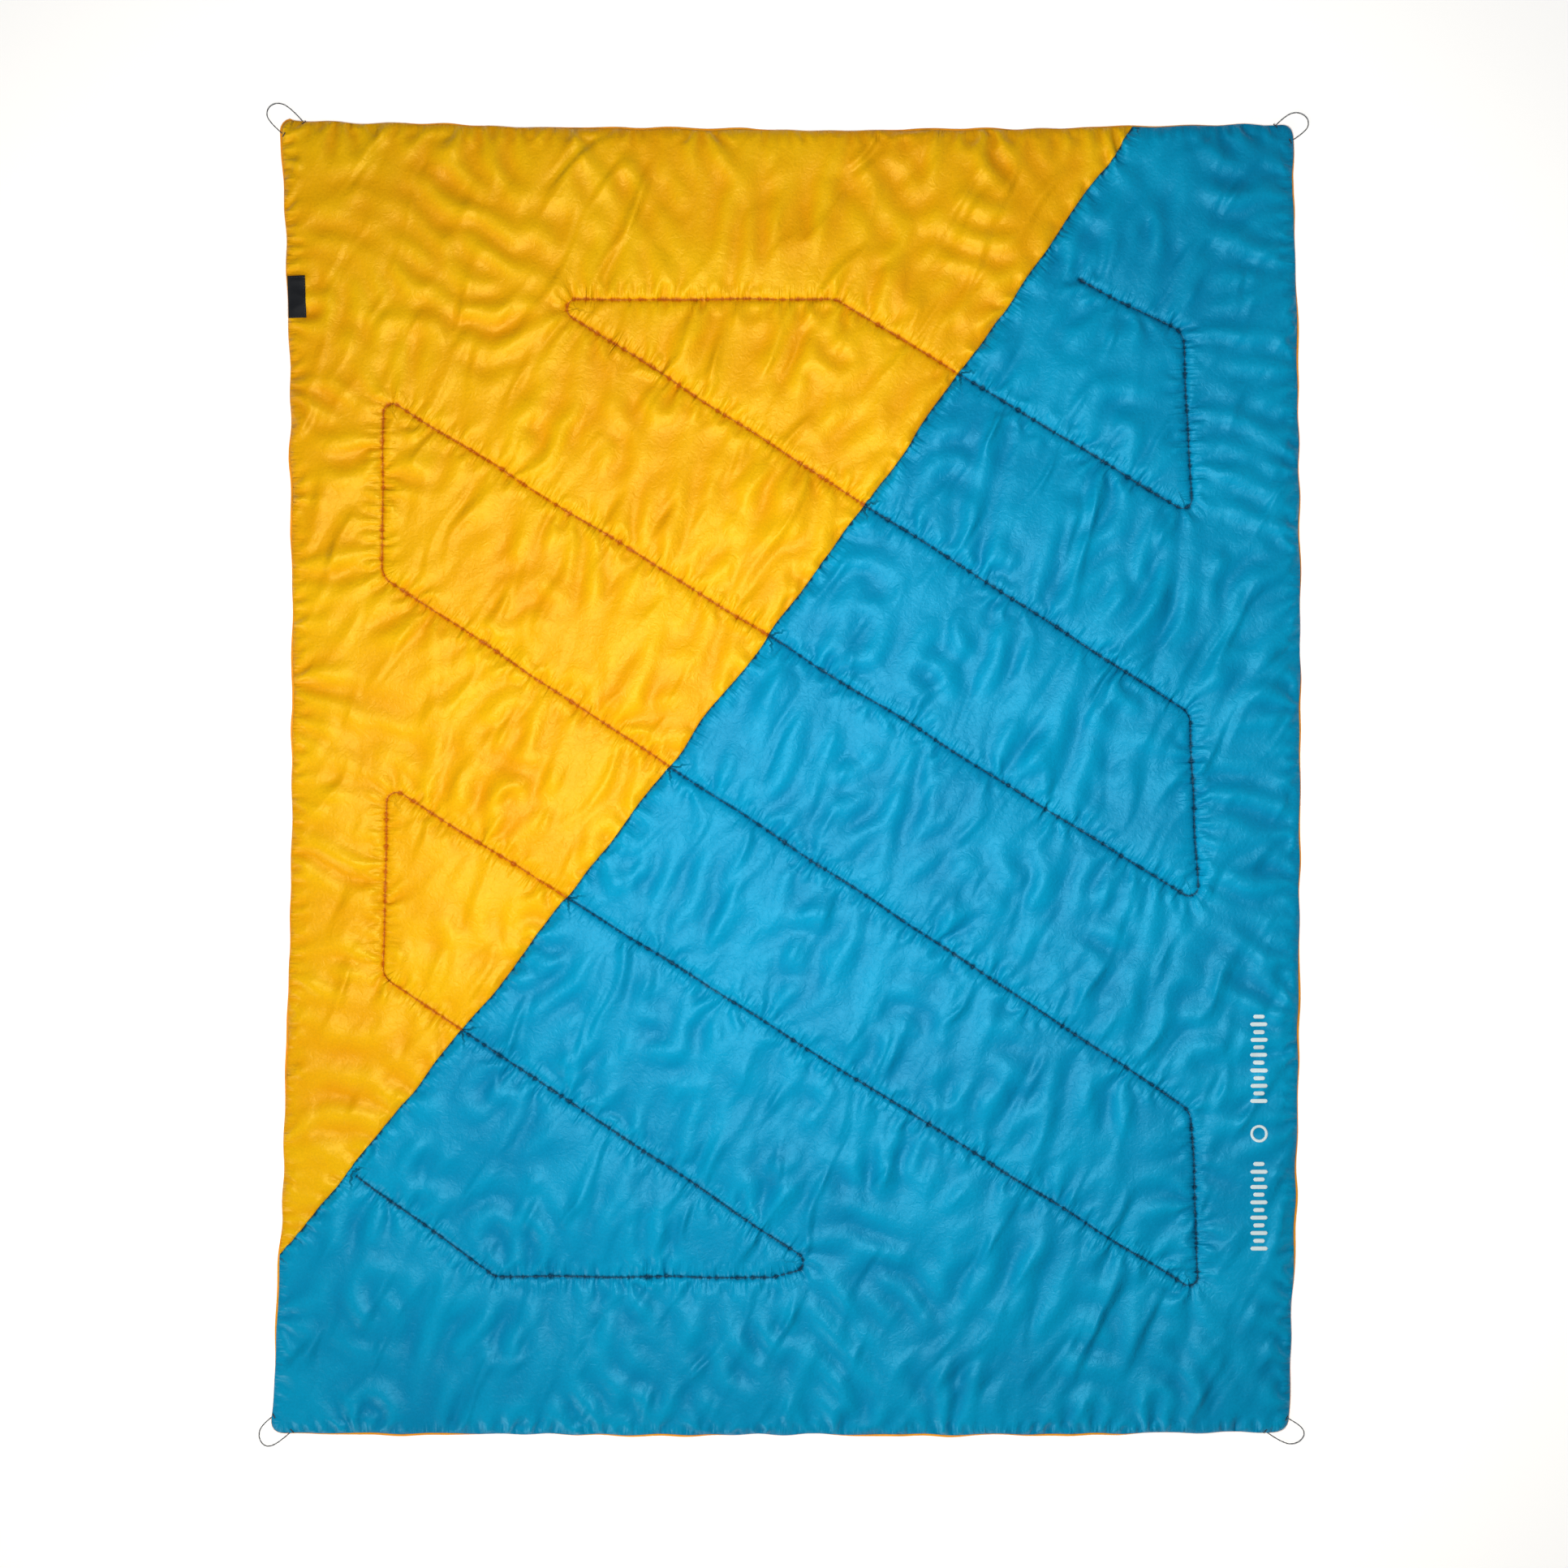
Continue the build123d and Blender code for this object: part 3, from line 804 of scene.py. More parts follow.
@dataclass
class BlanketPlan:
    """Outline, slanting seam and quilting of the lying blanket, in millimetres."""

    corners: list[tuple[float, float]] = field(
        default_factory=lambda: [(-757.0, 987.3), (759.5, 982.0), (754.5, -983.0), (-772.8, -983.0)]
    )
    bows: list[tuple[float, float]] = field(
        default_factory=lambda: [(0.0, 972.0), (771.6, -20.0), (0.0, -986.6), (-741.0, 0.0)]
    )
    corner_radius: float = 18.0
    seam: tuple[tuple[float, float], ...] = ((575.0, 1056.0), (-107.0, 108.0), (-822.0, -793.0))
    gold_place: tuple[float, float] = (-700.0, 900.0)  # a place on the seam's gold side
    bend_points: int = 12  # points of each of the quilting's bends
    turns: list[tuple[float, float, float]] = field(
        default_factory=lambda: [  # x, y and rounding of each bend of the quilting
            (440, 747, 0),
            (596, 668, 30),
            (611, 392, 14),
            (75, 718, 30),
            (-362, 718, 14),
            (606, 97, 30),
            (620, -190, 14),
            (-604, 572, 14),
            (-607, 302, 30),
            (608, -500, 30),
            (620, -775, 14),
            (-598, -12, 14),
            (-605, -300, 30),
            (45, -733, 14),
            (-20, -751, 14),
            (-437, -749, 30),
            (-644, -599, 0),
        ]
    )

    def outline(self) -> np.ndarray:
        """Draws the outline.

        Returns:
            The closed line with rounded corners, clockwise from the top left.
        """
        parts = []
        for i in range(4):
            side = arc(self.corners[i], self.bows[i], self.corners[(i + 1) % 4], 400)
            run = run_of(side)
            kept = np.linspace(self.corner_radius, run[-1] - self.corner_radius, 400)
            parts.append(points_at(side, run, kept))
        loop = []
        for index, part in enumerate(parts):
            following = parts[(index + 1) % 4]
            t = np.linspace(0, 1, 16)[1:-1, None]
            corner = np.array(self.corners[(index + 1) % 4]) * 0.9 + 0.05 * (part[-1] + following[0])
            loop += [part, (1 - t) ** 2 * part[-1] + 2 * t * (1 - t) * corner + t**2 * following[0]]
        return np.vstack(loop + [loop[0][:1]])

    def on_gold_side(self, place: np.ndarray) -> np.ndarray:
        """Tells which places are on the gold side of the slanting seam.

        Args:
            place: the places, in mm.

        Returns:
            Whether each is.
        """
        a, b, c = (complex(*p) for p in self.seam)
        centre = circle_centre(a, b, c)
        radius = abs(a - centre)
        beyond = abs(complex(*self.gold_place) - centre) < radius
        return (np.abs(place[:, 0] + 1j * place[:, 1] - centre) < radius) == beyond

    def quilting(self) -> np.ndarray:
        """Draws the quilting.

        Returns:
            Its line of stitches, with rounded bends and the small unevenness of real sewing.
        """
        line = [np.array(self.turns[0][:2], float)]
        for before, (x, y, radius), after in zip(self.turns, self.turns[1:], self.turns[2:]):
            tip = np.array([x, y], float)
            back, on = (np.array(p[:2], float) - tip for p in (before, after))
            back, on = back / np.linalg.norm(back), on / np.linalg.norm(on)
            half = math.acos(float(np.clip(back @ on, -1, 1))) / 2
            cut, bisector = radius / math.tan(half), (back + on) / np.linalg.norm(back + on)
            closest = tip + bisector * (radius / math.sin(half) - radius)
            line += list(arc(tip + back * cut, closest, tip + on * cut, self.bend_points))
        line = spaced(np.array(line + [np.array(self.turns[-1][:2], float)]), 4.0)
        return wander(line, 0.6, 150, 51)


# --- Cloth --------------------------------------------------------------------------------------
def crossings(a: np.ndarray, b: np.ndarray) -> list[np.ndarray]:
    """Finds where two lines cross.

    Args:
        a: the first line's points.
        b: the second line's points.

    Returns:
        The crossing points, in order along the first line.
    """
    found = []
    step = b[1:] - b[:-1]
    for start, way in zip(a[:-1], np.diff(a, axis=0)):
        across = way[0] * step[:, 1] - way[1] * step[:, 0]
        across[across == 0] = 1e-12
        gap = b[:-1] - start
        t = (gap[:, 0] * step[:, 1] - gap[:, 1] * step[:, 0]) / across
        u = (gap[:, 0] * way[1] - gap[:, 1] * way[0]) / across
        found += [start + t[i] * way for i in np.nonzero((t >= 0) & (t < 1) & (u >= 0) & (u < 1))[0]]
    return found


def hex_points(gap: float, seed: int) -> np.ndarray:
    """Lays slightly shaken points in a triangular pattern over the blanket's ground.

    Args:
        gap: distance between neighbours, in mm.
        seed: seed of the shaking.

    Returns:
        The points.
    """
    rng = np.random.default_rng(seed)
    half = GROUND - 80
    rise = gap * 0.866  # height of a triangle whose sides are a gap long
    across, up = np.meshgrid(np.arange(int(2 * half[0] / gap)), np.arange(int(2 * half[1] / rise)))
    points = np.stack([(across + 0.5 * (up % 2)).ravel() * gap, up.ravel() * gap * 0.866], 1) - half
    return points + rng.uniform(-0.2, 0.2, points.shape) * gap


def tree_of(line: np.ndarray) -> KDTree:
    """Makes a search tree of a line's points.

    Args:
        line: the points.

    Returns:
        A tree that finds the nearest point's number.
    """
    tree = KDTree(len(line))
    for index, point in enumerate(line):
        tree.insert((*point[:2], 0.0), index)
    tree.balance()
    return tree


@dataclass
class ClothMesh:
    """Flat triangle mesh of the blanket, finer beside the stitching, whose edges follow every seam."""

    plan: BlanketPlan
    fine: float = 3.4  # spacing beside the quilting, edge and slanting seam
    coarse: float = 6.6  # spacing between them
    fine_bands: dict[str, float] = field(  # how far from each line the fine spacing goes
        default_factory=lambda: {"rim": 20.0, "joint": 12.0, "quilting": 26.0}
    )
    seed: int = 11
    points: np.ndarray = field(init=False)
    triangles: np.ndarray = field(init=False)
    rim: np.ndarray = field(init=False)
    joint: np.ndarray = field(init=False)
    quilting: np.ndarray = field(init=False)
    reach: dict[str, np.ndarray] = field(init=False)  # distance from each line
    along: dict[str, np.ndarray] = field(init=False)  # place along the nearest point of each line
    course: dict[str, np.ndarray] = field(init=False)  # direction of the line there
    side: np.ndarray = field(init=False)  # distance to the left of the slanting seam, below it

    def __post_init__(self) -> None:
        """Places the points, joins them into triangles and measures them against the seams."""
        lines = self.sewn_lines()
        trees = {name: tree_of(points) for name, points in lines.items()}
        ahead = {name: self.ahead(points, name == "rim") for name, points in lines.items()}
        close = self.near_lines(lines)
        fine, coarse = hex_points(self.fine, self.seed), hex_points(self.coarse, self.seed + 1)
        loose = np.vstack([fine[close(fine)], coarse[~close(coarse)]])
        self.join({**lines, "loose": loose[self.inside(loose, trees, lines["rim"], ahead["rim"])]})
        self.measure(lines, trees, ahead)
        log.info("cloth of %d points and %d triangles", len(self.points), len(self.triangles))

    def sewn_lines(self) -> dict[str, np.ndarray]:
        """Draws the lines that the mesh's edges follow.

        Returns:
            The edge, the slanting seam and the quilting, each crossing the others at points of both.
        """
        rim = spaced(wander(self.plan.outline(), 0.9, 75, 52), self.fine)[:-1]
        seam = wander(arc(*self.plan.seam, 900), 1.5, 120, 53)
        ends = crossings(seam, np.vstack([rim, rim[:1]]))
        inner = seam[1:]
        low, high = sorted((np.argmin(np.linalg.norm(inner - e, axis=1)) for e in ends))
        seam = spaced(np.vstack([ends[0], inner[low + 2 : high - 1], ends[-1]]), self.fine)
        line = spaced(self.plan.quilting(), self.fine)
        for point in crossings(seam, line):
            seam[np.argmin(np.linalg.norm(seam - point, axis=1))] = point
            line[np.argmin(np.linalg.norm(line - point, axis=1))] = point
        for end in (seam[0], seam[-1]):
            rim[np.argmin(np.linalg.norm(rim - end, axis=1))] = end
        return {"rim": rim, "joint": seam, "quilting": line}

    def join(self, groups: dict[str, np.ndarray]) -> None:
        """Joins the points into triangles, with an edge along every line.

        Args:
            groups: the points of each line, and the loose ones.
        """
        numbers, places, chains = {}, [], {}
        for name, points in groups.items():
            chain = []
            for point in points:
                key = (round(float(point[0]), 4), round(float(point[1]), 4))
                if key not in numbers:
                    numbers[key] = len(places)
                    places.append(Vector(key))
                chain.append(numbers[key])
            chains[name] = chain
        closed = chains["rim"] + chains["rim"][:1]
        edges = [pair for c in (closed, chains["joint"], chains["quilting"]) for pair in zip(c, c[1:])]
        flat, _, faces, origins, _, _ = delaunay_2d_cdt(places, edges, [], 1, 1e-4)
        back = {old: new for new, olds in enumerate(origins) for old in olds}
        self.rim, self.joint, self.quilting = (
            np.array([back[i] for i in chains[name]]) for name in ("rim", "joint", "quilting")
        )
        self.points = np.array([tuple(p) for p in flat])
        triangles = np.array([f for f in faces if len(f) == 3])
        a, b, c = (self.points[triangles[:, k]] for k in range(3))
        area = (b - a)[:, 0] * (c - a)[:, 1] - (b - a)[:, 1] * (c - a)[:, 0]
        triangles[area < 0] = triangles[area < 0][:, ::-1]
        self.triangles = triangles[np.abs(area) > 1e-3]

    def near_lines(self, lines: dict[str, np.ndarray]) -> Callable[[np.ndarray], np.ndarray]:
        """Marks the ground beside the lines on a grid of square cells.

        Args:
            lines: the lines' points.

        Returns:
            A test that says of each point whether it lies in a fine band.
        """
        cell = 5.0
        grid = np.zeros((2 * GROUND / cell).astype(int), bool)
        for name, line in lines.items():
            at = np.floor((spaced(line, 3.0) + GROUND) / cell).astype(int)
            reach = self.fine_bands[name] / cell
            steps = range(-int(reach) - 1, int(reach) + 2)
            for i, j in ((i, j) for i in steps for j in steps if i * i + j * j <= reach**2):
                grid[at[:, 0] + i, at[:, 1] + j] = True

        def test(points: np.ndarray) -> np.ndarray:
            """Whether each point lies in a fine band."""
            at = np.floor((points + GROUND) / cell).astype(int)
            return grid[at[:, 0], at[:, 1]]

        return test

    @staticmethod
    def ahead(line: np.ndarray, closed: bool) -> np.ndarray:
        """Finds the direction of a line.

        Args:
            line: the line's points.
            closed: whether its last point is followed by its first.

        Returns:
            The direction at each point.
        """
        step = np.roll(line, -1, 0) - np.roll(line, 1, 0)
        if not closed:
            step[0], step[-1] = line[1] - line[0], line[-1] - line[-2]
        return unit(step)

    def inside(
        self, points: np.ndarray, trees: dict[str, KDTree], rim: np.ndarray, ahead: np.ndarray
    ) -> np.ndarray:
        """Tells which points are inside the outline and clear of every line.

        Args:
            points: the points.
            trees: search trees of the lines.
            rim: the outline's points.
            ahead: the outline's direction at each of them.

        Returns:
            Whether each point is.
        """
        room = 0.6 * self.fine
        kept = np.zeros(len(points), bool)
        for number, (x, y) in enumerate(points):
            _, index, gap = trees["rim"].find((x, y, 0.0))
            way = (x - rim[index][0]) * ahead[index][1] - (y - rim[index][1]) * ahead[index][0]
            if way > 0 and gap > room:
                kept[number] = min(trees[n].find((x, y, 0.0))[2] for n in ("joint", "quilting")) > room
        return kept

    def measure(
        self, lines: dict[str, np.ndarray], trees: dict[str, KDTree], ahead: dict[str, np.ndarray]
    ) -> None:
        """Measures every point's distance from each line, and its place along it.

        Args:
            lines: the lines' points.
            trees: search trees of the lines.
            ahead: the lines' directions.
        """
        self.reach, self.along, self.course = {}, {}, {}
        for name, line in lines.items():
            hits = [trees[name].find((x, y, 0.0))[1:] for x, y in self.points]
            index = np.array([h[0] for h in hits])
            self.reach[name] = np.array([h[1] for h in hits])
            self.along[name] = run_of(line)[index] + ((self.points - line[index]) * ahead[name][index]).sum(1)
            self.course[name] = ahead[name][index]
            if name == "joint":
                gap, way = self.points - line[index], ahead[name][index]
                self.side = way[:, 0] * gap[:, 1] - way[:, 1] * gap[:, 0]


@dataclass
class Folding:
    """How much spare cloth a panel holds, and how stiff the bed and the cloth are."""

    height: np.ndarray  # height that the fill holds each point at, in mm
    spare: np.ndarray  # spare length in every direction, as a share
    gather: np.ndarray  # extra spare length along the gathering direction
    way: np.ndarray  # the gathering direction, across the folds
    fold: np.ndarray  # usual distance between folds, in mm
    pinned: dict[str, float]  # height of each pinned line
    floor: float
    ceiling: float
    lift: float = 0.15  # how weakly the cloth is held down where it stands above the fill
    steps: int = 260


class ClothSolver:
    """Relaxes a cloth mesh until its spare length lies in folds over the fill."""

    bend = 0.035  # the cloth's stiffness against bending
    tension = 0.9  # share of an edge's stretch that a step takes out
    firmest = 0.35  # the most that the bed pushes back in a step
    drag = 0.88  # share of its speed that a point keeps from step to step

    def __init__(self, mesh: ClothMesh, folding: Folding) -> None:
        """Works out the cloth's cut size and the strength of its bed.

        Args:
            mesh: the flat mesh.
            folding: spare cloth, bed and pinned heights.
        """
        self.mesh, self.folding = mesh, folding
        flat, tri = mesh.points, mesh.triangles
        pairs = np.vstack([tri[:, [0, 1]], tri[:, [1, 2]], tri[:, [2, 0]]])
        pairs = np.unique(np.sort(pairs, axis=1), axis=0)
        source = np.concatenate([pairs[:, 0], pairs[:, 1]])
        target = np.concatenate([pairs[:, 1], pairs[:, 0]])
        order = np.argsort(source, kind="stable")
        self.source, self.target = source[order], target[order]
        self.first = np.searchsorted(self.source, np.arange(len(flat)))
        self.count = np.diff(np.append(self.first, len(self.source))).astype(np.float32)[:, None]
        run = flat[self.target] - flat[self.source]
        size = np.linalg.norm(run, axis=1)
        course = run / size[:, None]
        share = 0.0
        for end in (self.source, self.target):
            along = (course * folding.way[end]).sum(1) ** 2
            share = share + 0.5 * (folding.spare[end] + folding.gather[end] * along)
        self.cut = (size * (1 + share)).astype(np.float32)
        gap = np.add.reduceat(size, self.first) / self.count[:, 0]
        bed = (self.bend * (2 * math.pi * gap / folding.fold) ** 4 / 16).astype(np.float32)
        self.bed = np.minimum(bed, self.firmest)

    def neighbours(self, values: np.ndarray) -> np.ndarray:
        """Mean step from each point to its neighbours."""
        return np.add.reduceat(values[self.target] - values[self.source], self.first, axis=0) / self.count

    def relief(self, heights: np.ndarray, passes: int = 14) -> np.ndarray:
        """Measures how far each point stands above the cloth around it.

        Args:
            heights: the points' heights, in mm.
            passes: how often they are smoothed; more takes in more cloth.

        Returns:
            Each point's height above the smoothed cloth, in mm.
        """
        smooth = heights.astype(np.float32)[:, None]
        for _ in range(passes):
            smooth = smooth + self.neighbours(smooth)
        return heights - smooth[:, 0]

    def run(self, seed: int) -> np.ndarray:
        """Folds the cloth.

        Args:
            seed: seed of the first faint unevenness that the folds grow from.

        Returns:
            The folded cloth's points, in millimetres.
        """
        mesh, f = self.mesh, self.folding
        x = np.zeros((len(mesh.points), 3), np.float32)
        x[:, :2] = mesh.points
        broad = smooth_noise(mesh.points, 48, seed)
        quilted = np.stack([mesh.along["quilting"], mesh.reach["quilting"] * 0.28], 1)
        edged = np.stack([mesh.along["rim"], mesh.reach["rim"] * 0.25], 1)
        by_stitch = np.exp(-mesh.reach["quilting"] / 13) * smooth_noise(quilted, 11, seed + 1)
        by_edge = np.exp(-mesh.reach["rim"] / 26) * smooth_noise(edged, 15, seed + 2)
        x[:, 2] = f.height + 0.8 * broad + 1.6 * by_stitch + 1.6 * by_edge
        held = np.zeros(len(x), bool)
        for name, level in f.pinned.items():
            held[getattr(mesh, name)] = True
            x[getattr(mesh, name), 2] = level
        free = (~held).astype(np.float32)[:, None]
        height = f.height.astype(np.float32)
        speed = np.zeros_like(x)
        for step in range(f.steps):
            run = x[self.target] - x[self.source]
            size = np.sqrt(np.einsum("ij,ij->i", run, run))
            curve = np.add.reduceat(run, self.first, axis=0) / self.count
            run *= (1 - self.cut / size)[:, None]
            pull = np.add.reduceat(run, self.first, axis=0) / self.count
            curve *= free
            push = self.tension * pull - self.bend * self.neighbours(curve)
            above = x[:, 2] - height
            push[:, 2] -= self.bed * above * np.where(above > 0, f.lift, 1.0)
            speed = (self.drag * speed + push) * free
            x += speed
            np.clip(x[:, 2], f.floor, f.ceiling, out=x[:, 2])
        return x


@dataclass
class Hem:
    """A cut edge of a panel and the rows that it turns through, each outwards and upwards in mm."""

    chain: np.ndarray
    rows: list[tuple[np.ndarray | float, float]]
    closed: bool = False


def hemmed(points: np.ndarray, triangles: np.ndarray, hems: Sequence[Hem]) -> tuple[np.ndarray, np.ndarray]:
    """Turns a panel's edges over.

    Args:
        points: the panel's points in mm.
        triangles: its triangles.
        hems: its edges; outside lies to the left of each one's chain.

    Returns:
        The points and triangles with the turned rows added.
    """
    for hem in hems:
        edge = points[hem.chain]
        out = np.pad(left_of(ClothMesh.ahead(edge[:, :2], hem.closed)), ((0, 0), (0, 1)))
        before = hem.chain
        for outwards, upwards in hem.rows:
            row = edge + out * np.broadcast_to(outwards, len(edge))[:, None] + UP * upwards
            row[:, 2] = np.maximum(row[:, 2], HEM_FLOOR)
            after = np.arange(len(row)) + len(points)
            points = np.vstack([points, row])
            a, b = (np.append(r, r[0]) if hem.closed else r for r in (before, after))
            strips = [np.stack([a[:-1], a[1:], b[1:]], 1), np.stack([a[:-1], b[1:], b[:-1]], 1)]
            triangles = np.vstack([triangles, *strips])
            before = after
    return points, triangles


# --- Stitches, and the surface that pieces lie on -----------------------------------------------
class Stitches:
    """Rows of stitches, each a copy of one small bowed length of thread."""

    def __init__(self) -> None:
        """Models one stitch: a lying cylinder, divided along its length, with drawn-in ends."""
        deselect()
        bpy.ops.mesh.primitive_cylinder_add(vertices=6, radius=1.0, depth=1.0)
        model = bpy.context.object
        bpy.ops.object.mode_set(mode="EDIT")
        bpy.ops.mesh.select_mode(type="EDGE")
        bpy.ops.mesh.select_all(action="DESELECT")
        bpy.ops.object.mode_set(mode="OBJECT")  # edges are chosen by their place outside edit mode
        for edge in model.data.edges:
            ends = [model.data.vertices[v].co.z for v in edge.vertices]
            edge.select = abs(ends[0] - ends[1]) > 0.5
        bpy.ops.object.mode_set(mode="EDIT")
        bpy.ops.mesh.subdivide(number_cuts=2)
        bpy.ops.mesh.select_all(action="SELECT")
        bpy.ops.transform.rotate(value=math.pi / 2, orient_axis="Y", center_override=(0, 0, 0))
        bpy.ops.object.mode_set(mode="OBJECT")
        points = np.array([v.co for v in model.data.vertices])
        self.faces = [tuple(p.vertices) for p in model.data.polygons]
        ends = np.abs(points[:, 0]) > 0.45
        points[ends, 1:] *= 0.55
        self.points = points
        bpy.data.objects.remove(model)

    def row(
        self,
        name: str,
        starts: np.ndarray,
        ends: np.ndarray,
        radius: float,
        bow: float,
        tints: np.ndarray | None = None,
    ) -> Object:
        """Lays one stitch from each start to each end.

        Args:
            name: the piece's name.
            starts: first end of each stitch, in mm.
            ends: second end of each stitch, in mm.
            radius: radius of the thread.
            bow: how far a stitch's middle stands above its ends.
            tints: material number of each stitch.

        Returns:
            One mesh of every stitch in the row.
        """
        size = np.linalg.norm(ends - starts, axis=1)[:, None]
        way = (ends - starts) / size
        side = unit(np.cross(UP, way))
        top = np.cross(way, side)
        x, y, z = (self.points[None, :, k : k + 1] for k in range(3))
        lift = z * radius + bow * (1 - (2 * x) ** 2)
        middle = ((starts + ends) / 2)[:, None]
        points = middle + way[:, None] * (x * size[:, None])
        points = points + side[:, None] * y * radius + top[:, None] * lift
        each = len(self.points)
        faces = [tuple(v + each * i for v in f) for i in range(len(starts)) for f in self.faces]
        piece = mesh_piece(name, points.reshape(-1, 3) * MM, faces)
        if tints is not None:
            numbers = np.repeat(tints, len(self.faces)).astype(np.int32)
            piece.data.polygons.foreach_set("material_index", numbers)
        return piece


class Surface:
    """The front's folded surface, for pieces that lie on it."""

    def __init__(self, points: np.ndarray, triangles: np.ndarray) -> None:
        """Takes the surface's points in mm and its triangles."""
        self.tree = BVHTree.FromPolygons(points.tolist(), triangles.tolist())

    def heights(self, place: np.ndarray, default: float = 3.0) -> np.ndarray:
        """Height of the surface at each place, in mm."""
        hits = (self.tree.ray_cast(Vector((x, y, SKY)), DOWN)[0] for x, y in place)
        return np.array([default if hit is None else hit.z for hit in hits])

    def draped(self, place: np.ndarray, shape: tuple[int, int], lift: float, passes: int) -> np.ndarray:
        """Lays a grid of points over the surface, taut across its small folds.

        Args:
            place: the grid's points, row by row.
            shape: rows and columns.
            lift: room above the surface.
            passes: how often the grid is smoothed; more makes it stiffer.

        Returns:
            The grid's points in space.
        """
        base = self.heights(place).reshape(shape) + lift
        z = base.copy()
        for _ in range(passes):
            wide = np.pad(z, 1, mode="edge")
            mean = (wide[:-2, 1:-1] + wide[2:, 1:-1] + wide[1:-1, :-2] + wide[1:-1, 2:]) / 4
            z = np.maximum(base, mean)
        return np.column_stack([place, z.ravel()])


def grid_faces(rows: int, columns: int, closed: bool = False) -> list[tuple[int, int, int, int]]:
    """Joins a grid's points into square faces, which face up if columns run rightwards and rows upwards.

    Args:
        rows: how many rows the grid has.
        columns: how many columns.
        closed: whether the last column joins the first.

    Returns:
        Each face's point numbers.
    """
    across = [(c, (c + 1) % columns) for c in range(columns if closed else columns - 1)]
    up = [(r * columns, (r + 1) * columns) for r in range(rows - 1)]
    return [(low + a, low + b, high + b, high + a) for low, high in up for a, b in across]


def thicken(piece: Object, thickness_mm: float) -> None:
    """Gives a sheet its thickness, below its upper face.

    Args:
        piece: the sheet.
        thickness_mm: its thickness.
    """
    deselect()
    piece.select_set(True)
    bpy.context.view_layer.objects.active = piece
    wall = piece.modifiers.new("wall", "SOLIDIFY")
    wall.thickness, wall.offset = thickness_mm * MM, -1.0
    bpy.ops.object.modifier_apply(modifier=wall.name)


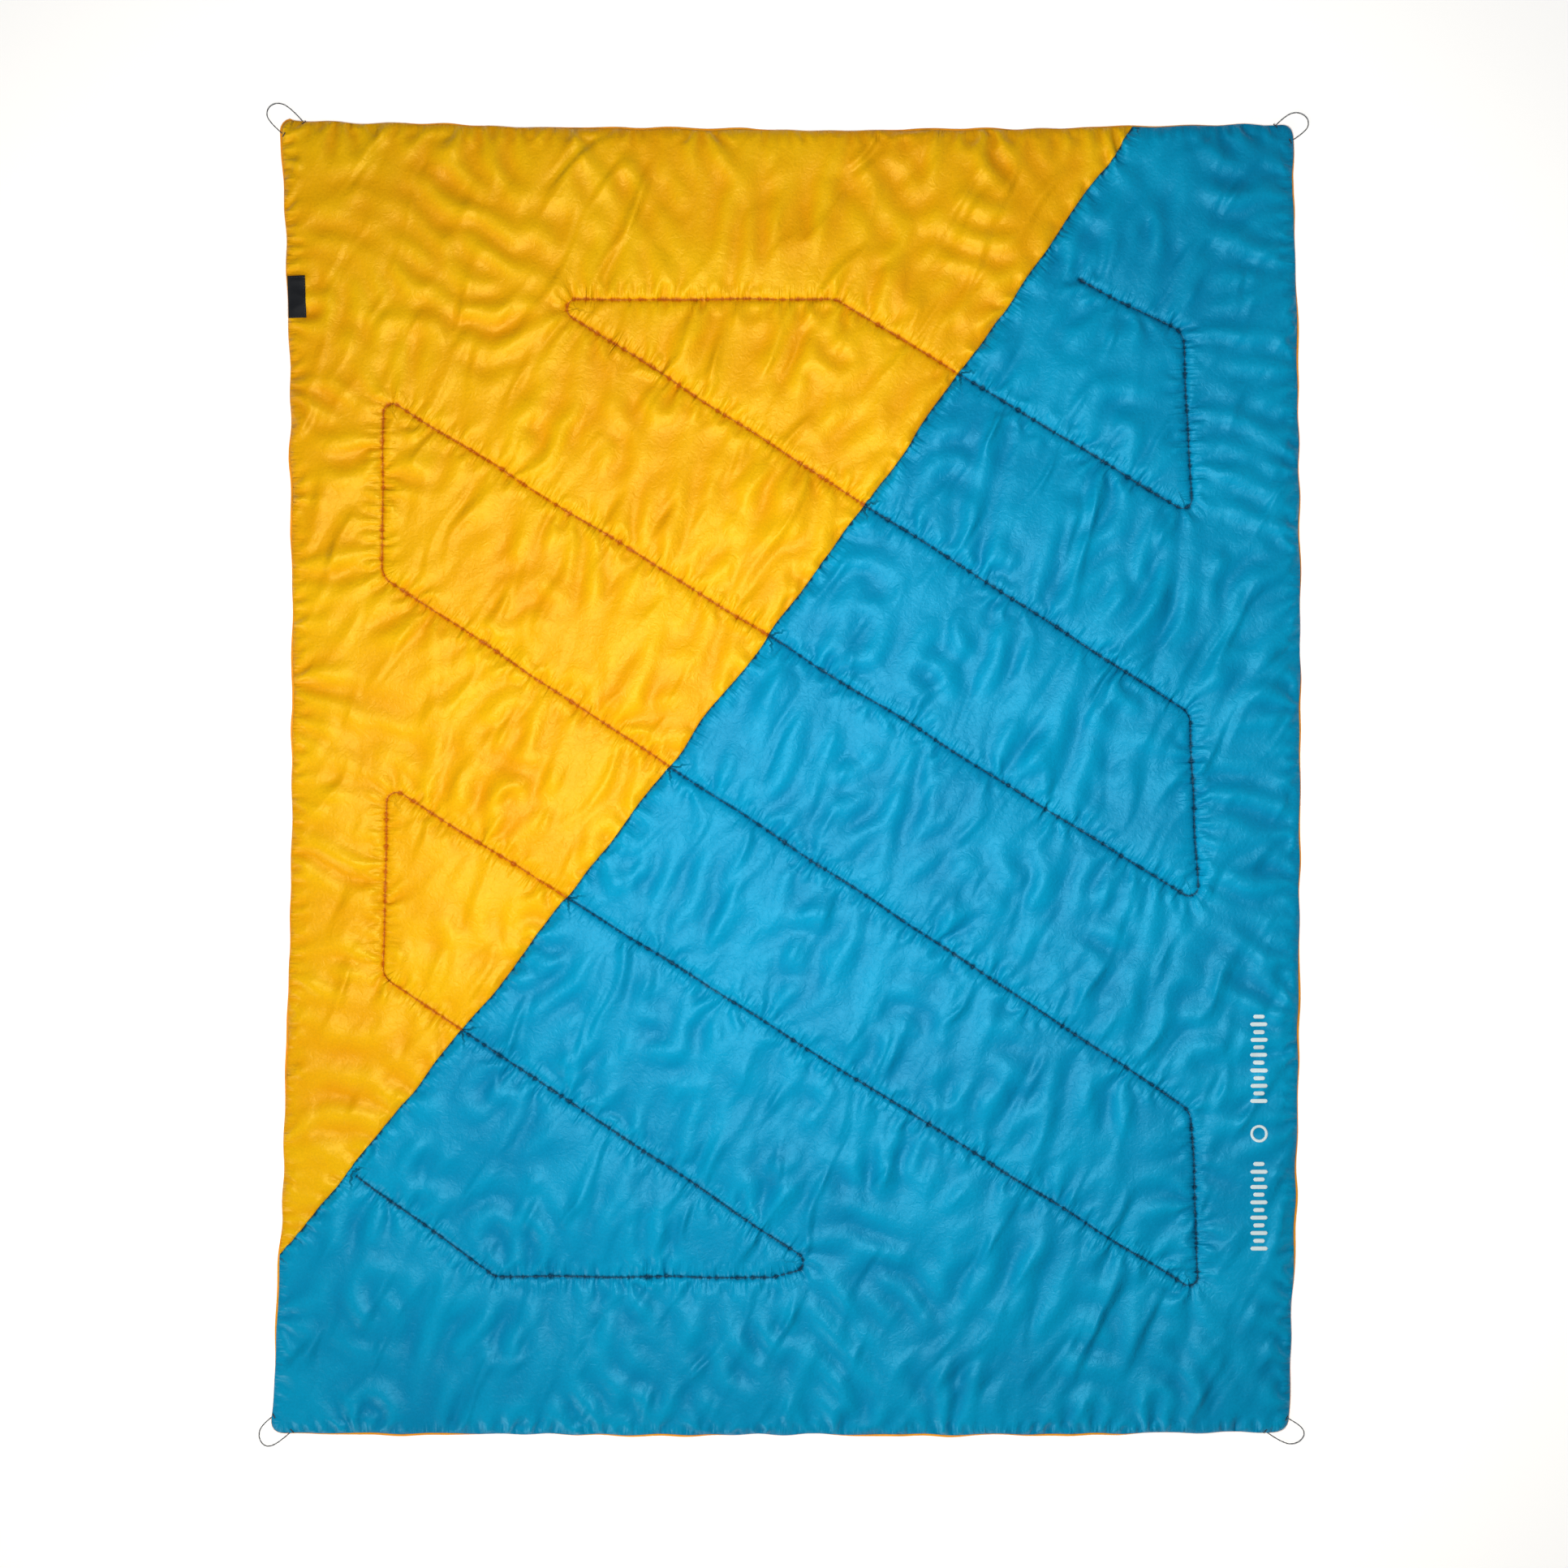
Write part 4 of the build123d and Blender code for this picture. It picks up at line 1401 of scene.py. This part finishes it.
# --- Panels and fill ----------------------------------------------------------------------------
@dataclass
class Panels:
    """Front and back of the blanket with the fill between them."""

    loft: float = 13.2  # height of the padded front
    swell: float = 1.3  # unevenness of the loft
    rim_height: float = 3.2
    valley_floor: float = 4.5  # height of the front at the quilting
    ridge_top: float = 2.3  # height of the back at the quilting
    seam_valley: float = 2.2  # how far the fill sinks under the slanting seam
    seam_dip: float = 0.9  # how far the slanting seam itself is drawn in
    ceiling: float = 23.0
    stitch_gather: float = 0.13  # shares of spare length that each kind of seam draws up
    rim_gather: float = 0.095
    joint_gather: float = 0.03
    narrow_fold: float = 11.0  # distance between folds beside the stitching
    wide_fold: float = 62.0  # how much more it is in the open cloth
    back_rest: float = 0.25  # height of the back on the ground

    def front_folding(self, mesh: ClothMesh) -> Folding:
        """Settles the front's spare cloth and the fill under it.

        Args:
            mesh: flat mesh of the front.

        Returns:
            The front's folding.
        """
        p, stitch, rim, joint = mesh.points, mesh.reach["quilting"], mesh.reach["rim"], mesh.reach["joint"]
        puff = self.loft + self.swell * smooth_noise(p, 210, 3)
        sunk = 0.45 * np.exp(-stitch / 3.5) + 0.55 * np.exp(-stitch / 26)
        height = self.valley_floor + (puff - self.valley_floor) * (1 - sunk)
        height = np.minimum(height, self.rim_height + (puff - self.rim_height) * (1 - np.exp(-rim / 16)))
        height -= self.seam_valley * np.exp(-((joint / 8) ** 2))
        by_stitch, by_rim, by_joint = np.exp(-stitch / 11), np.exp(-rim / 26), np.exp(-joint / 10)
        runs = 0.75 + 0.55 * np.clip(smooth_noise(p, 80, 6), -1, 1)
        slack = 0.015 + 0.030 * np.clip(0.5 + 0.8 * smooth_noise(p, 170, 7), 0, 1.5)
        gather = self.stitch_gather * by_stitch * runs + self.rim_gather * by_rim * runs
        gather = gather + self.joint_gather * by_joint + slack
        far_stitch, far_rim = 0.12 * np.exp(-stitch / 130), 0.03 * np.exp(-rim / 90)
        weights = [by_stitch**2 + far_stitch, by_rim**2 + far_rim, by_joint**2]
        drift = 0.8 * smooth_noise(p, 420, 8)
        courses = [mesh.course[name] for name in ("quilting", "rim", "joint")]
        angles = [np.arctan2(course[:, 1], course[:, 0]) for course in courses]
        lean = 0.5 * smooth_noise(p, 110, 9)
        double = sum(w * np.exp(2j * (a + lean)) for w, a in zip(weights, angles))
        double = double + 0.05 * np.exp(2j * (0.9 + drift))
        turn = np.angle(double) / 2
        roomy = 1 + 0.5 * np.clip(smooth_noise(p, 150, 12), -1, 1.6)
        open_cloth = (1 - np.exp(-stitch / 34)) * (1 - np.exp(-rim / 40)) * (1 - 0.5 * by_joint)
        return Folding(
            height=height,
            spare=0.002 + 0.005 * np.clip(0.5 + 0.5 * smooth_noise(p, 150, 5), 0, 1.6),
            gather=gather,
            way=np.stack([np.cos(turn), np.sin(turn)], 1),
            fold=self.narrow_fold + self.wide_fold * roomy * open_cloth,
            pinned={"rim": self.rim_height, "quilting": self.valley_floor},
            floor=self.rim_height - 0.2,
            ceiling=self.ceiling,
        )

    def back_folding(self, mesh: ClothMesh) -> Folding:
        """Settles the back's spare cloth, pressed flat on the ground except at the stitches.

        Args:
            mesh: flat mesh of the back.

        Returns:
            The back's folding.
        """
        p, stitch, rim = mesh.points, mesh.reach["quilting"], mesh.reach["rim"]
        turn = np.arctan2(mesh.course["quilting"][:, 1], mesh.course["quilting"][:, 0])
        return Folding(
            height=self.back_rest + (self.ridge_top - self.back_rest) * np.exp(-stitch / 5),
            spare=np.full(len(p), 0.0004),
            gather=0.012 * np.exp(-stitch / 14) + 0.010 * np.exp(-rim / 16),
            way=np.stack([np.cos(turn), np.sin(turn)], 1),
            fold=self.narrow_fold + 30 * (1 - np.exp(-stitch / 30)),
            pinned={"rim": 0.5, "quilting": self.ridge_top},
            floor=0.2,
            ceiling=2.4,
            lift=1.0,
            steps=90,
        )

    @staticmethod
    def panel(
        name: str, solver: ClothSolver, cloth: np.ndarray, chosen: np.ndarray, edges: Sequence[Hem]
    ) -> Object:
        """Cuts one panel out of the folded cloth, with its turned edges.

        Args:
            name: the piece's name.
            solver: the solver that folded the cloth, with its mesh.
            cloth: the folded points.
            chosen: which triangles belong to the panel.
            edges: its edges, numbered as in the whole cloth.

        Returns:
            The panel's mesh, with its place beside the stitching stored for the material.
        """
        mesh, past, under_seam, open_place = solver.mesh, 6.0, 0.8, 90.0
        points, triangles = hemmed(cloth, mesh.triangles[chosen], edges)
        used, triangles = np.unique(triangles, return_inverse=True)
        triangles = triangles.reshape(-1, 3)
        piece = mesh_piece(name, points[used] * MM, triangles)
        extra = len(points) - len(cloth)
        beside = np.minimum(mesh.reach["quilting"], mesh.reach["rim"] + past)
        # the material paints shade from this distance beside the stitching and from this height above the
        # cloth around
        place = np.stack([mesh.along["quilting"], beside, solver.relief(cloth[:, 2])], 1)
        far = mesh.reach["rim"] + past < mesh.reach["quilting"]
        if name == "teal_front_taffeta":  # the painted seam shade also darkens its edge at the slanting seam, which lies lower
            seam = mesh.reach["joint"] + under_seam < place[:, 1]
            place[seam, 0], place[seam, 1] = mesh.along["joint"][seam], mesh.reach["joint"][seam] + under_seam
            far &= ~seam
        place[far, 0] = mesh.along["rim"][far]
        place = np.vstack([place, np.tile([0.0, open_place, 0.0], (extra, 1))])
        give_attribute(piece, "stitch_place", "FLOAT_VECTOR", place[used] * MM)
        return piece

    def build(self, mesh: ClothMesh, base: ClothMesh) -> tuple[np.ndarray, np.ndarray]:
        """Builds and dresses the three panels.

        Args:
            mesh: flat mesh of the front.
            base: flat mesh of the back, which needs fewer points.

        Returns:
            The folded front's and back's points, in mm.
        """
        over = ClothSolver(mesh, self.front_folding(mesh))
        under = ClothSolver(base, self.back_folding(base))
        front, back = over.run(21).astype(float), under.run(22).astype(float)
        log.info("front from %.1f to %.1f mm high", front[:, 2].min(), front[:, 2].max())
        front[mesh.joint[1:-1], 2] -= self.seam_dip
        starts = [int(np.nonzero(mesh.rim == mesh.joint[k])[0][0]) for k in (0, -1)]
        around = np.concatenate([mesh.rim, mesh.rim])
        size = len(mesh.rim)
        gold_rim = around[starts[1] : starts[1] + (starts[0] - starts[1]) % size + 1]
        teal_rim = around[starts[0] : starts[0] + (starts[1] - starts[0]) % size + 1]
        gold = mesh.side[mesh.triangles].sum(1) < 0
        rolled = [(0.5, -0.7), (0.3, -1.4), (-1.2, -1.7)]
        turned = [(0.15, -0.9), (-0.5, -2.4), (-1.4, -3.4)]
        for name, chosen, rim, seam, finish, area in (
            ("gold", gold, gold_rim, mesh.joint, Finish.GOLD, 1.13),
            ("teal", ~gold, teal_rim, mesh.joint[::-1], Finish.TEAL, 1.87),
        ):
            edges = [Hem(rim, rolled), Hem(seam, turned)]
            piece = self.panel(f"{name}_front_taffeta", over, front, chosen, edges)
            finish_piece(piece, [finish.material], [f"{name}_front_panel"])
        along = base.along["rim"][base.rim]
        peep = 1.9 + 1.3 * np.clip(smooth_noise(np.stack([along, along * 0], 1), 260, 31), -1, 1.2)
        rows = [(peep, 0.3), (peep, 0.9), (peep - 0.3, 1.2), (-0.8, 1.25)]
        whole = np.ones(len(base.triangles), bool)
        piece = self.panel("back_taffeta", under, back, whole, [Hem(base.rim, rows, True)])
        piece.data.flip_normals()
        finish_piece(piece, [Finish.AMBER.material], ["back_panel"])
        return front, back


@dataclass
class Fill:
    """Loose sheet of polyester batting that fills the room between the panels."""

    plan: BlanketPlan
    spacing: float = 13.0
    inset: float = 10.0
    edge_band: float = 40.0  # how far from the edge the inset fades out
    top_gap: float = 2.8
    bottom_gap: float = 0.7
    thinnest: float = 0.3

    def build(self, front: Surface, back: Surface) -> Object:
        """Builds the batting as a closed pad just inside both panels.

        Args:
            front: the front's surface.
            back: the back's surface.

        Returns:
            The finished pad.
        """
        mesh = ClothMesh(self.plan, fine=self.spacing, coarse=self.spacing * 1.2, seed=41)
        share = np.clip(1 - mesh.reach["rim"] / self.edge_band, 0, 1)[:, None]
        place = mesh.points - left_of(mesh.course["rim"]) * share * self.inset
        around = [(0, 0), (6, 0), (-6, 0), (0, 6), (0, -6), (4, 4), (-4, 4), (4, -4), (-4, -4)]
        top = np.min([front.heights(place + step) for step in around], axis=0) - self.top_gap
        bottom = back.heights(place, 0.5) + self.bottom_gap
        top = np.maximum(top, bottom + self.thinnest)
        count = len(place)
        points = np.vstack([np.column_stack([place, top]), np.column_stack([place, bottom])])
        rim = np.append(mesh.rim, mesh.rim[0])
        a, b = rim[:-1], rim[1:]
        wall = [np.stack([a, b, b + count], 1), np.stack([a, b + count, a + count], 1)]
        triangles = np.vstack([mesh.triangles, mesh.triangles[:, ::-1] + count, *wall])
        piece = mesh_piece("batting_fill", points * MM, triangles)
        finish_piece(piece, [Finish.BATTING.material], ["fill_batting"])
        return piece


# --- Sewing, label and print --------------------------------------------------------------------
@dataclass
class Sewing:
    """Rows of stitches: quilting, panel seam and bar tacks."""

    plan: BlanketPlan
    pitch: float = 4.0
    stitch: float = 3.3
    lead: float = 0.35  # from a needle hole to where the stitch shows
    radius: float = 0.4
    back_tack: int = 9  # stitches sewn twice at each end of the quilting
    back_tack_shift: float = 0.7
    seam_depth: float = 2.6  # of the panel seam's stitches, below its edges
    tail: float = 8.0  # length of cord that is sewn in
    tack_count: int = 13
    tack_length: float = 7.0
    tack_width: float = 1.8
    tack_inset: float = 3.0

    def quilting(self, maker: Stitches, panels: Panels) -> None:
        """Sews the quilting's needle and bobbin threads.

        Args:
            maker: the maker of stitches.
            panels: the panels that the quilting goes through.
        """
        line = spaced(self.plan.quilting(), self.pitch)
        ahead = unit(np.diff(line, axis=0))
        begin, finish = line[:-1] + ahead * self.lead, line[:-1] + ahead * (self.lead + self.stitch)
        repeated = np.r_[0 : self.back_tack, len(begin) - self.back_tack : len(begin)]
        nudge = left_of(ahead)[repeated] * self.back_tack_shift + ahead[repeated] * self.pitch / 2
        begin, finish = (np.vstack([p, p[repeated] + nudge]) for p in (begin, finish))
        tints = (~self.plan.on_gold_side((begin + finish) / 2)).astype(int)
        threads = [Finish.AMBER_THREAD.material, Finish.NAVY_THREAD.material]
        for name, level, bow, tint in (
            ("needle", panels.valley_floor + 0.3, 0.25, tints),
            ("bobbin", panels.ridge_top - 0.4, -0.2, tints * 0),
        ):
            starts, ends = (np.column_stack([p, np.full(len(p), level)]) for p in (begin, finish))
            piece = maker.row(f"quilting_{name}_stitches", starts, ends, self.radius, bow, tint)
            finish_piece(piece, threads, [f"quilting_{name}_thread"])

    def panel_seam(self, maker: Stitches, mesh: ClothMesh, front: np.ndarray) -> None:
        """Sews the slanting seam, out of sight under its turned-down edges.

        Args:
            maker: the maker of stitches.
            mesh: flat mesh of the front.
            front: the folded front's points, in mm.
        """
        line = spaced(front[mesh.joint], self.pitch)
        line[:, 2] -= self.seam_depth
        ahead = np.diff(line, axis=0) / self.pitch
        keep = line[:-1, 2] > 4.5  # not where the edge or the quilting draws it down
        starts, ends = (line[:-1] + 0.1 * ahead)[keep], (line[:-1] + 3.4 * ahead)[keep]
        piece = maker.row("panel_seam_stitches", starts, ends, 0.3, 0.1)
        finish_piece(piece, [Finish.SEAM_THREAD.material], ["panel_seam_thread"])

    def bar_tacks(self, maker: Stitches, surface: Surface) -> None:
        """Sews dense bars of thread over each cord end.

        Args:
            maker: the maker of stitches.
            surface: the front's surface.
        """
        for loop in CORD_LOOPS:
            starts, ends = [], []
            for tail, following in ((loop.route[0], loop.route[1]), (loop.route[-1], loop.route[-2])):
                inner, outer = np.array(tail) / MM, np.array(following) / MM
                out = (outer - inner) / np.linalg.norm(outer - inner)
                middle = inner + out * (self.tail - self.tack_inset)
                across = np.array([-out[1], out[0]])
                for place in np.linspace(-0.5, 0.5, self.tack_count) * self.tack_length:
                    starts.append(middle + across * place + out * -0.5 * self.tack_width)
                    ends.append(middle + across * place + out * 0.5 * self.tack_width)
            begin, finish = (np.column_stack([p, surface.heights(p) + 0.35]) for p in (starts, ends))
            piece = maker.row(f"bar_tacks_{loop.corner}", begin, finish, 0.32, 0.3)
            node = f"loop_bar_tacks_{loop.corner}"
            finish_piece(piece, [Finish.TACK_THREAD.material], [node])


@dataclass
class SideLabel:
    """Plain woven ribbon label, caught in the left edge and sewn down round its border."""

    plan: BlanketPlan
    middle_share: float = 0.865  # of the left edge, from the bottom
    length: float = 63.0
    width: float = 27.0
    thickness: float = 0.4
    margin: float = 1.8
    rows: int = 43
    columns: int = 19
    lift: float = 0.75
    pitch: float = 4.0
    stitch: float = 2.6

    def build(self, maker: Stitches, surface: Surface) -> None:
        """Builds the label and the stitches round it.

        Args:
            maker: the maker of stitches.
            surface: the front's surface.
        """
        side = arc(self.plan.corners[3], self.plan.bows[3], self.plan.corners[0], 1000)
        index = int(self.middle_share * 999)
        along = side[index + 1] - side[index - 1]
        along /= np.linalg.norm(along)
        inward = np.array([along[1], -along[0]])
        foot = side[index]
        shape = self.rows, self.columns
        v, u = np.meshgrid(np.linspace(-0.5, 0.5, self.rows), np.linspace(0, 1, self.columns), indexing="ij")
        place = foot + inward * (0.4 + u.reshape(-1, 1) * self.width) + along * v.reshape(-1, 1) * self.length
        laid = surface.draped(place, shape, self.lift, 60)
        piece = mesh_piece("woven_side_label", laid * MM, grid_faces(*shape))
        thicken(piece, self.thickness)
        finish_piece(piece, [Finish.LABEL.material], ["side_label"])
        top = Surface(laid, np.array(grid_faces(*shape)))
        starts, ends = [], []
        half = self.length / 2 - self.margin
        inner = self.width - self.margin
        border = [(1.5, -half), (inner, -half), (inner, half), (1.5, half)]
        corners = [foot + inward * u + along * v for u, v in border]
        for corner, other in zip(corners, corners[1:]):
            way = other - corner
            size = np.linalg.norm(way)
            for place in np.arange(0.6, size - self.stitch, self.pitch):
                starts.append(corner + way / size * place)
                ends.append(corner + way / size * (place + self.stitch))
        begin, finish = (np.column_stack([p, top.heights(p) + 0.15]) for p in (starts, ends))
        stitches = maker.row("label_stitches", begin, finish, 0.3, 0.15)
        finish_piece(stitches, [Finish.TACK_THREAD.material], ["label_stitching"])


@dataclass
class TransferPrint:
    """Pale heat-transfer marks by the right edge: a ring between two ladders of plain bars."""

    x: float = 709.5
    lengths: tuple[float, float] = (26.0, 17.0)
    width: float = 6.0
    pitch: float = 11.5
    pairs: int = 6
    ladder_y: tuple[float, float] = (-643.0, -422.0)
    ring_y: float = -534.0
    ring_radius: float = 13.0
    ring_band: float = 4.0
    lift: float = 0.3
    thickness: float = 0.15

    def build(self, surface: Surface) -> None:
        """Builds every mark as a thin film on the fabric.

        Args:
            surface: the front's surface.
        """
        points, faces = [], []

        def add(place: np.ndarray, rows: int, columns: int, closed: bool) -> None:
            """Lays one mark on the fabric.

            Args:
                place: the mark's grid of points, in mm.
                rows: how many rows the grid has.
                columns: how many columns.
                closed: whether the last column joins the first.
            """
            first = sum(len(p) for p in points)
            laid = np.column_stack([place, surface.heights(place) + self.lift])
            points.append(laid)
            faces.extend(tuple(v + first for v in f) for f in grid_faces(rows, columns, closed))

        columns, rows = 17, 5
        u, v = np.linspace(-1, 1, columns), np.linspace(-1, 1, rows)
        for ladder in self.ladder_y:
            for number in range(2 * self.pairs):
                size = self.lengths[number % 2]
                centre = np.array([self.x, ladder + (number - self.pairs + 0.5) * self.pitch])
                x = u * size / 2
                round_end = np.clip((np.abs(x) - (size - self.width) / 2) / (self.width / 2), 0, 0.98)
                half = self.width / 2 * np.sqrt(1 - round_end**2)
                place = np.stack([np.tile(x, rows), (v[:, None] * half[None]).ravel()], 1) + centre
                add(place, rows, columns, False)
        turn = np.linspace(0, 2 * math.pi, 61)[:-1]
        circle = np.stack([np.cos(turn), -np.sin(turn)], 1)
        rings = [circle * (self.ring_radius - self.ring_band * k / 3) for k in range(4)]
        add(np.vstack(rings) + [self.x, self.ring_y], 4, 60, True)
        piece = mesh_piece("transfer_print_film", np.vstack(points) * MM, faces)
        thicken(piece, self.thickness)
        finish_piece(piece, [Finish.FILM.material], ["transfer_print"])


# --- The whole blanket --------------------------------------------------------------------------
def main() -> None:
    """Builds the studio, the cords and then the blanket from the cloth outwards."""
    studio = Studio()
    studio.camera()
    for loop in CORD_LOOPS:
        loop.build()
    studio.build()
    plan = BlanketPlan()
    mesh, base = ClothMesh(plan), ClothMesh(plan, fine=5.4, coarse=9.0, seed=31)
    panels = Panels()
    front, back = panels.build(mesh, base)
    surface, under = Surface(front, mesh.triangles), Surface(back, base.triangles)
    Fill(plan).build(surface, under)
    maker = Stitches()
    sewing = Sewing(plan)
    sewing.quilting(maker, panels)
    sewing.panel_seam(maker, mesh, front)
    sewing.bar_tacks(maker, surface)
    SideLabel(plan).build(maker, surface)
    TransferPrint().build(surface)
    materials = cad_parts["perimeter_seam_thread"].data.materials
    materials.clear()
    materials.append(Finish.SEAM_THREAD.material)


if __name__ == "__main__":
    logging.basicConfig(level=logging.INFO, format="%(name)s: %(message)s")
    main()
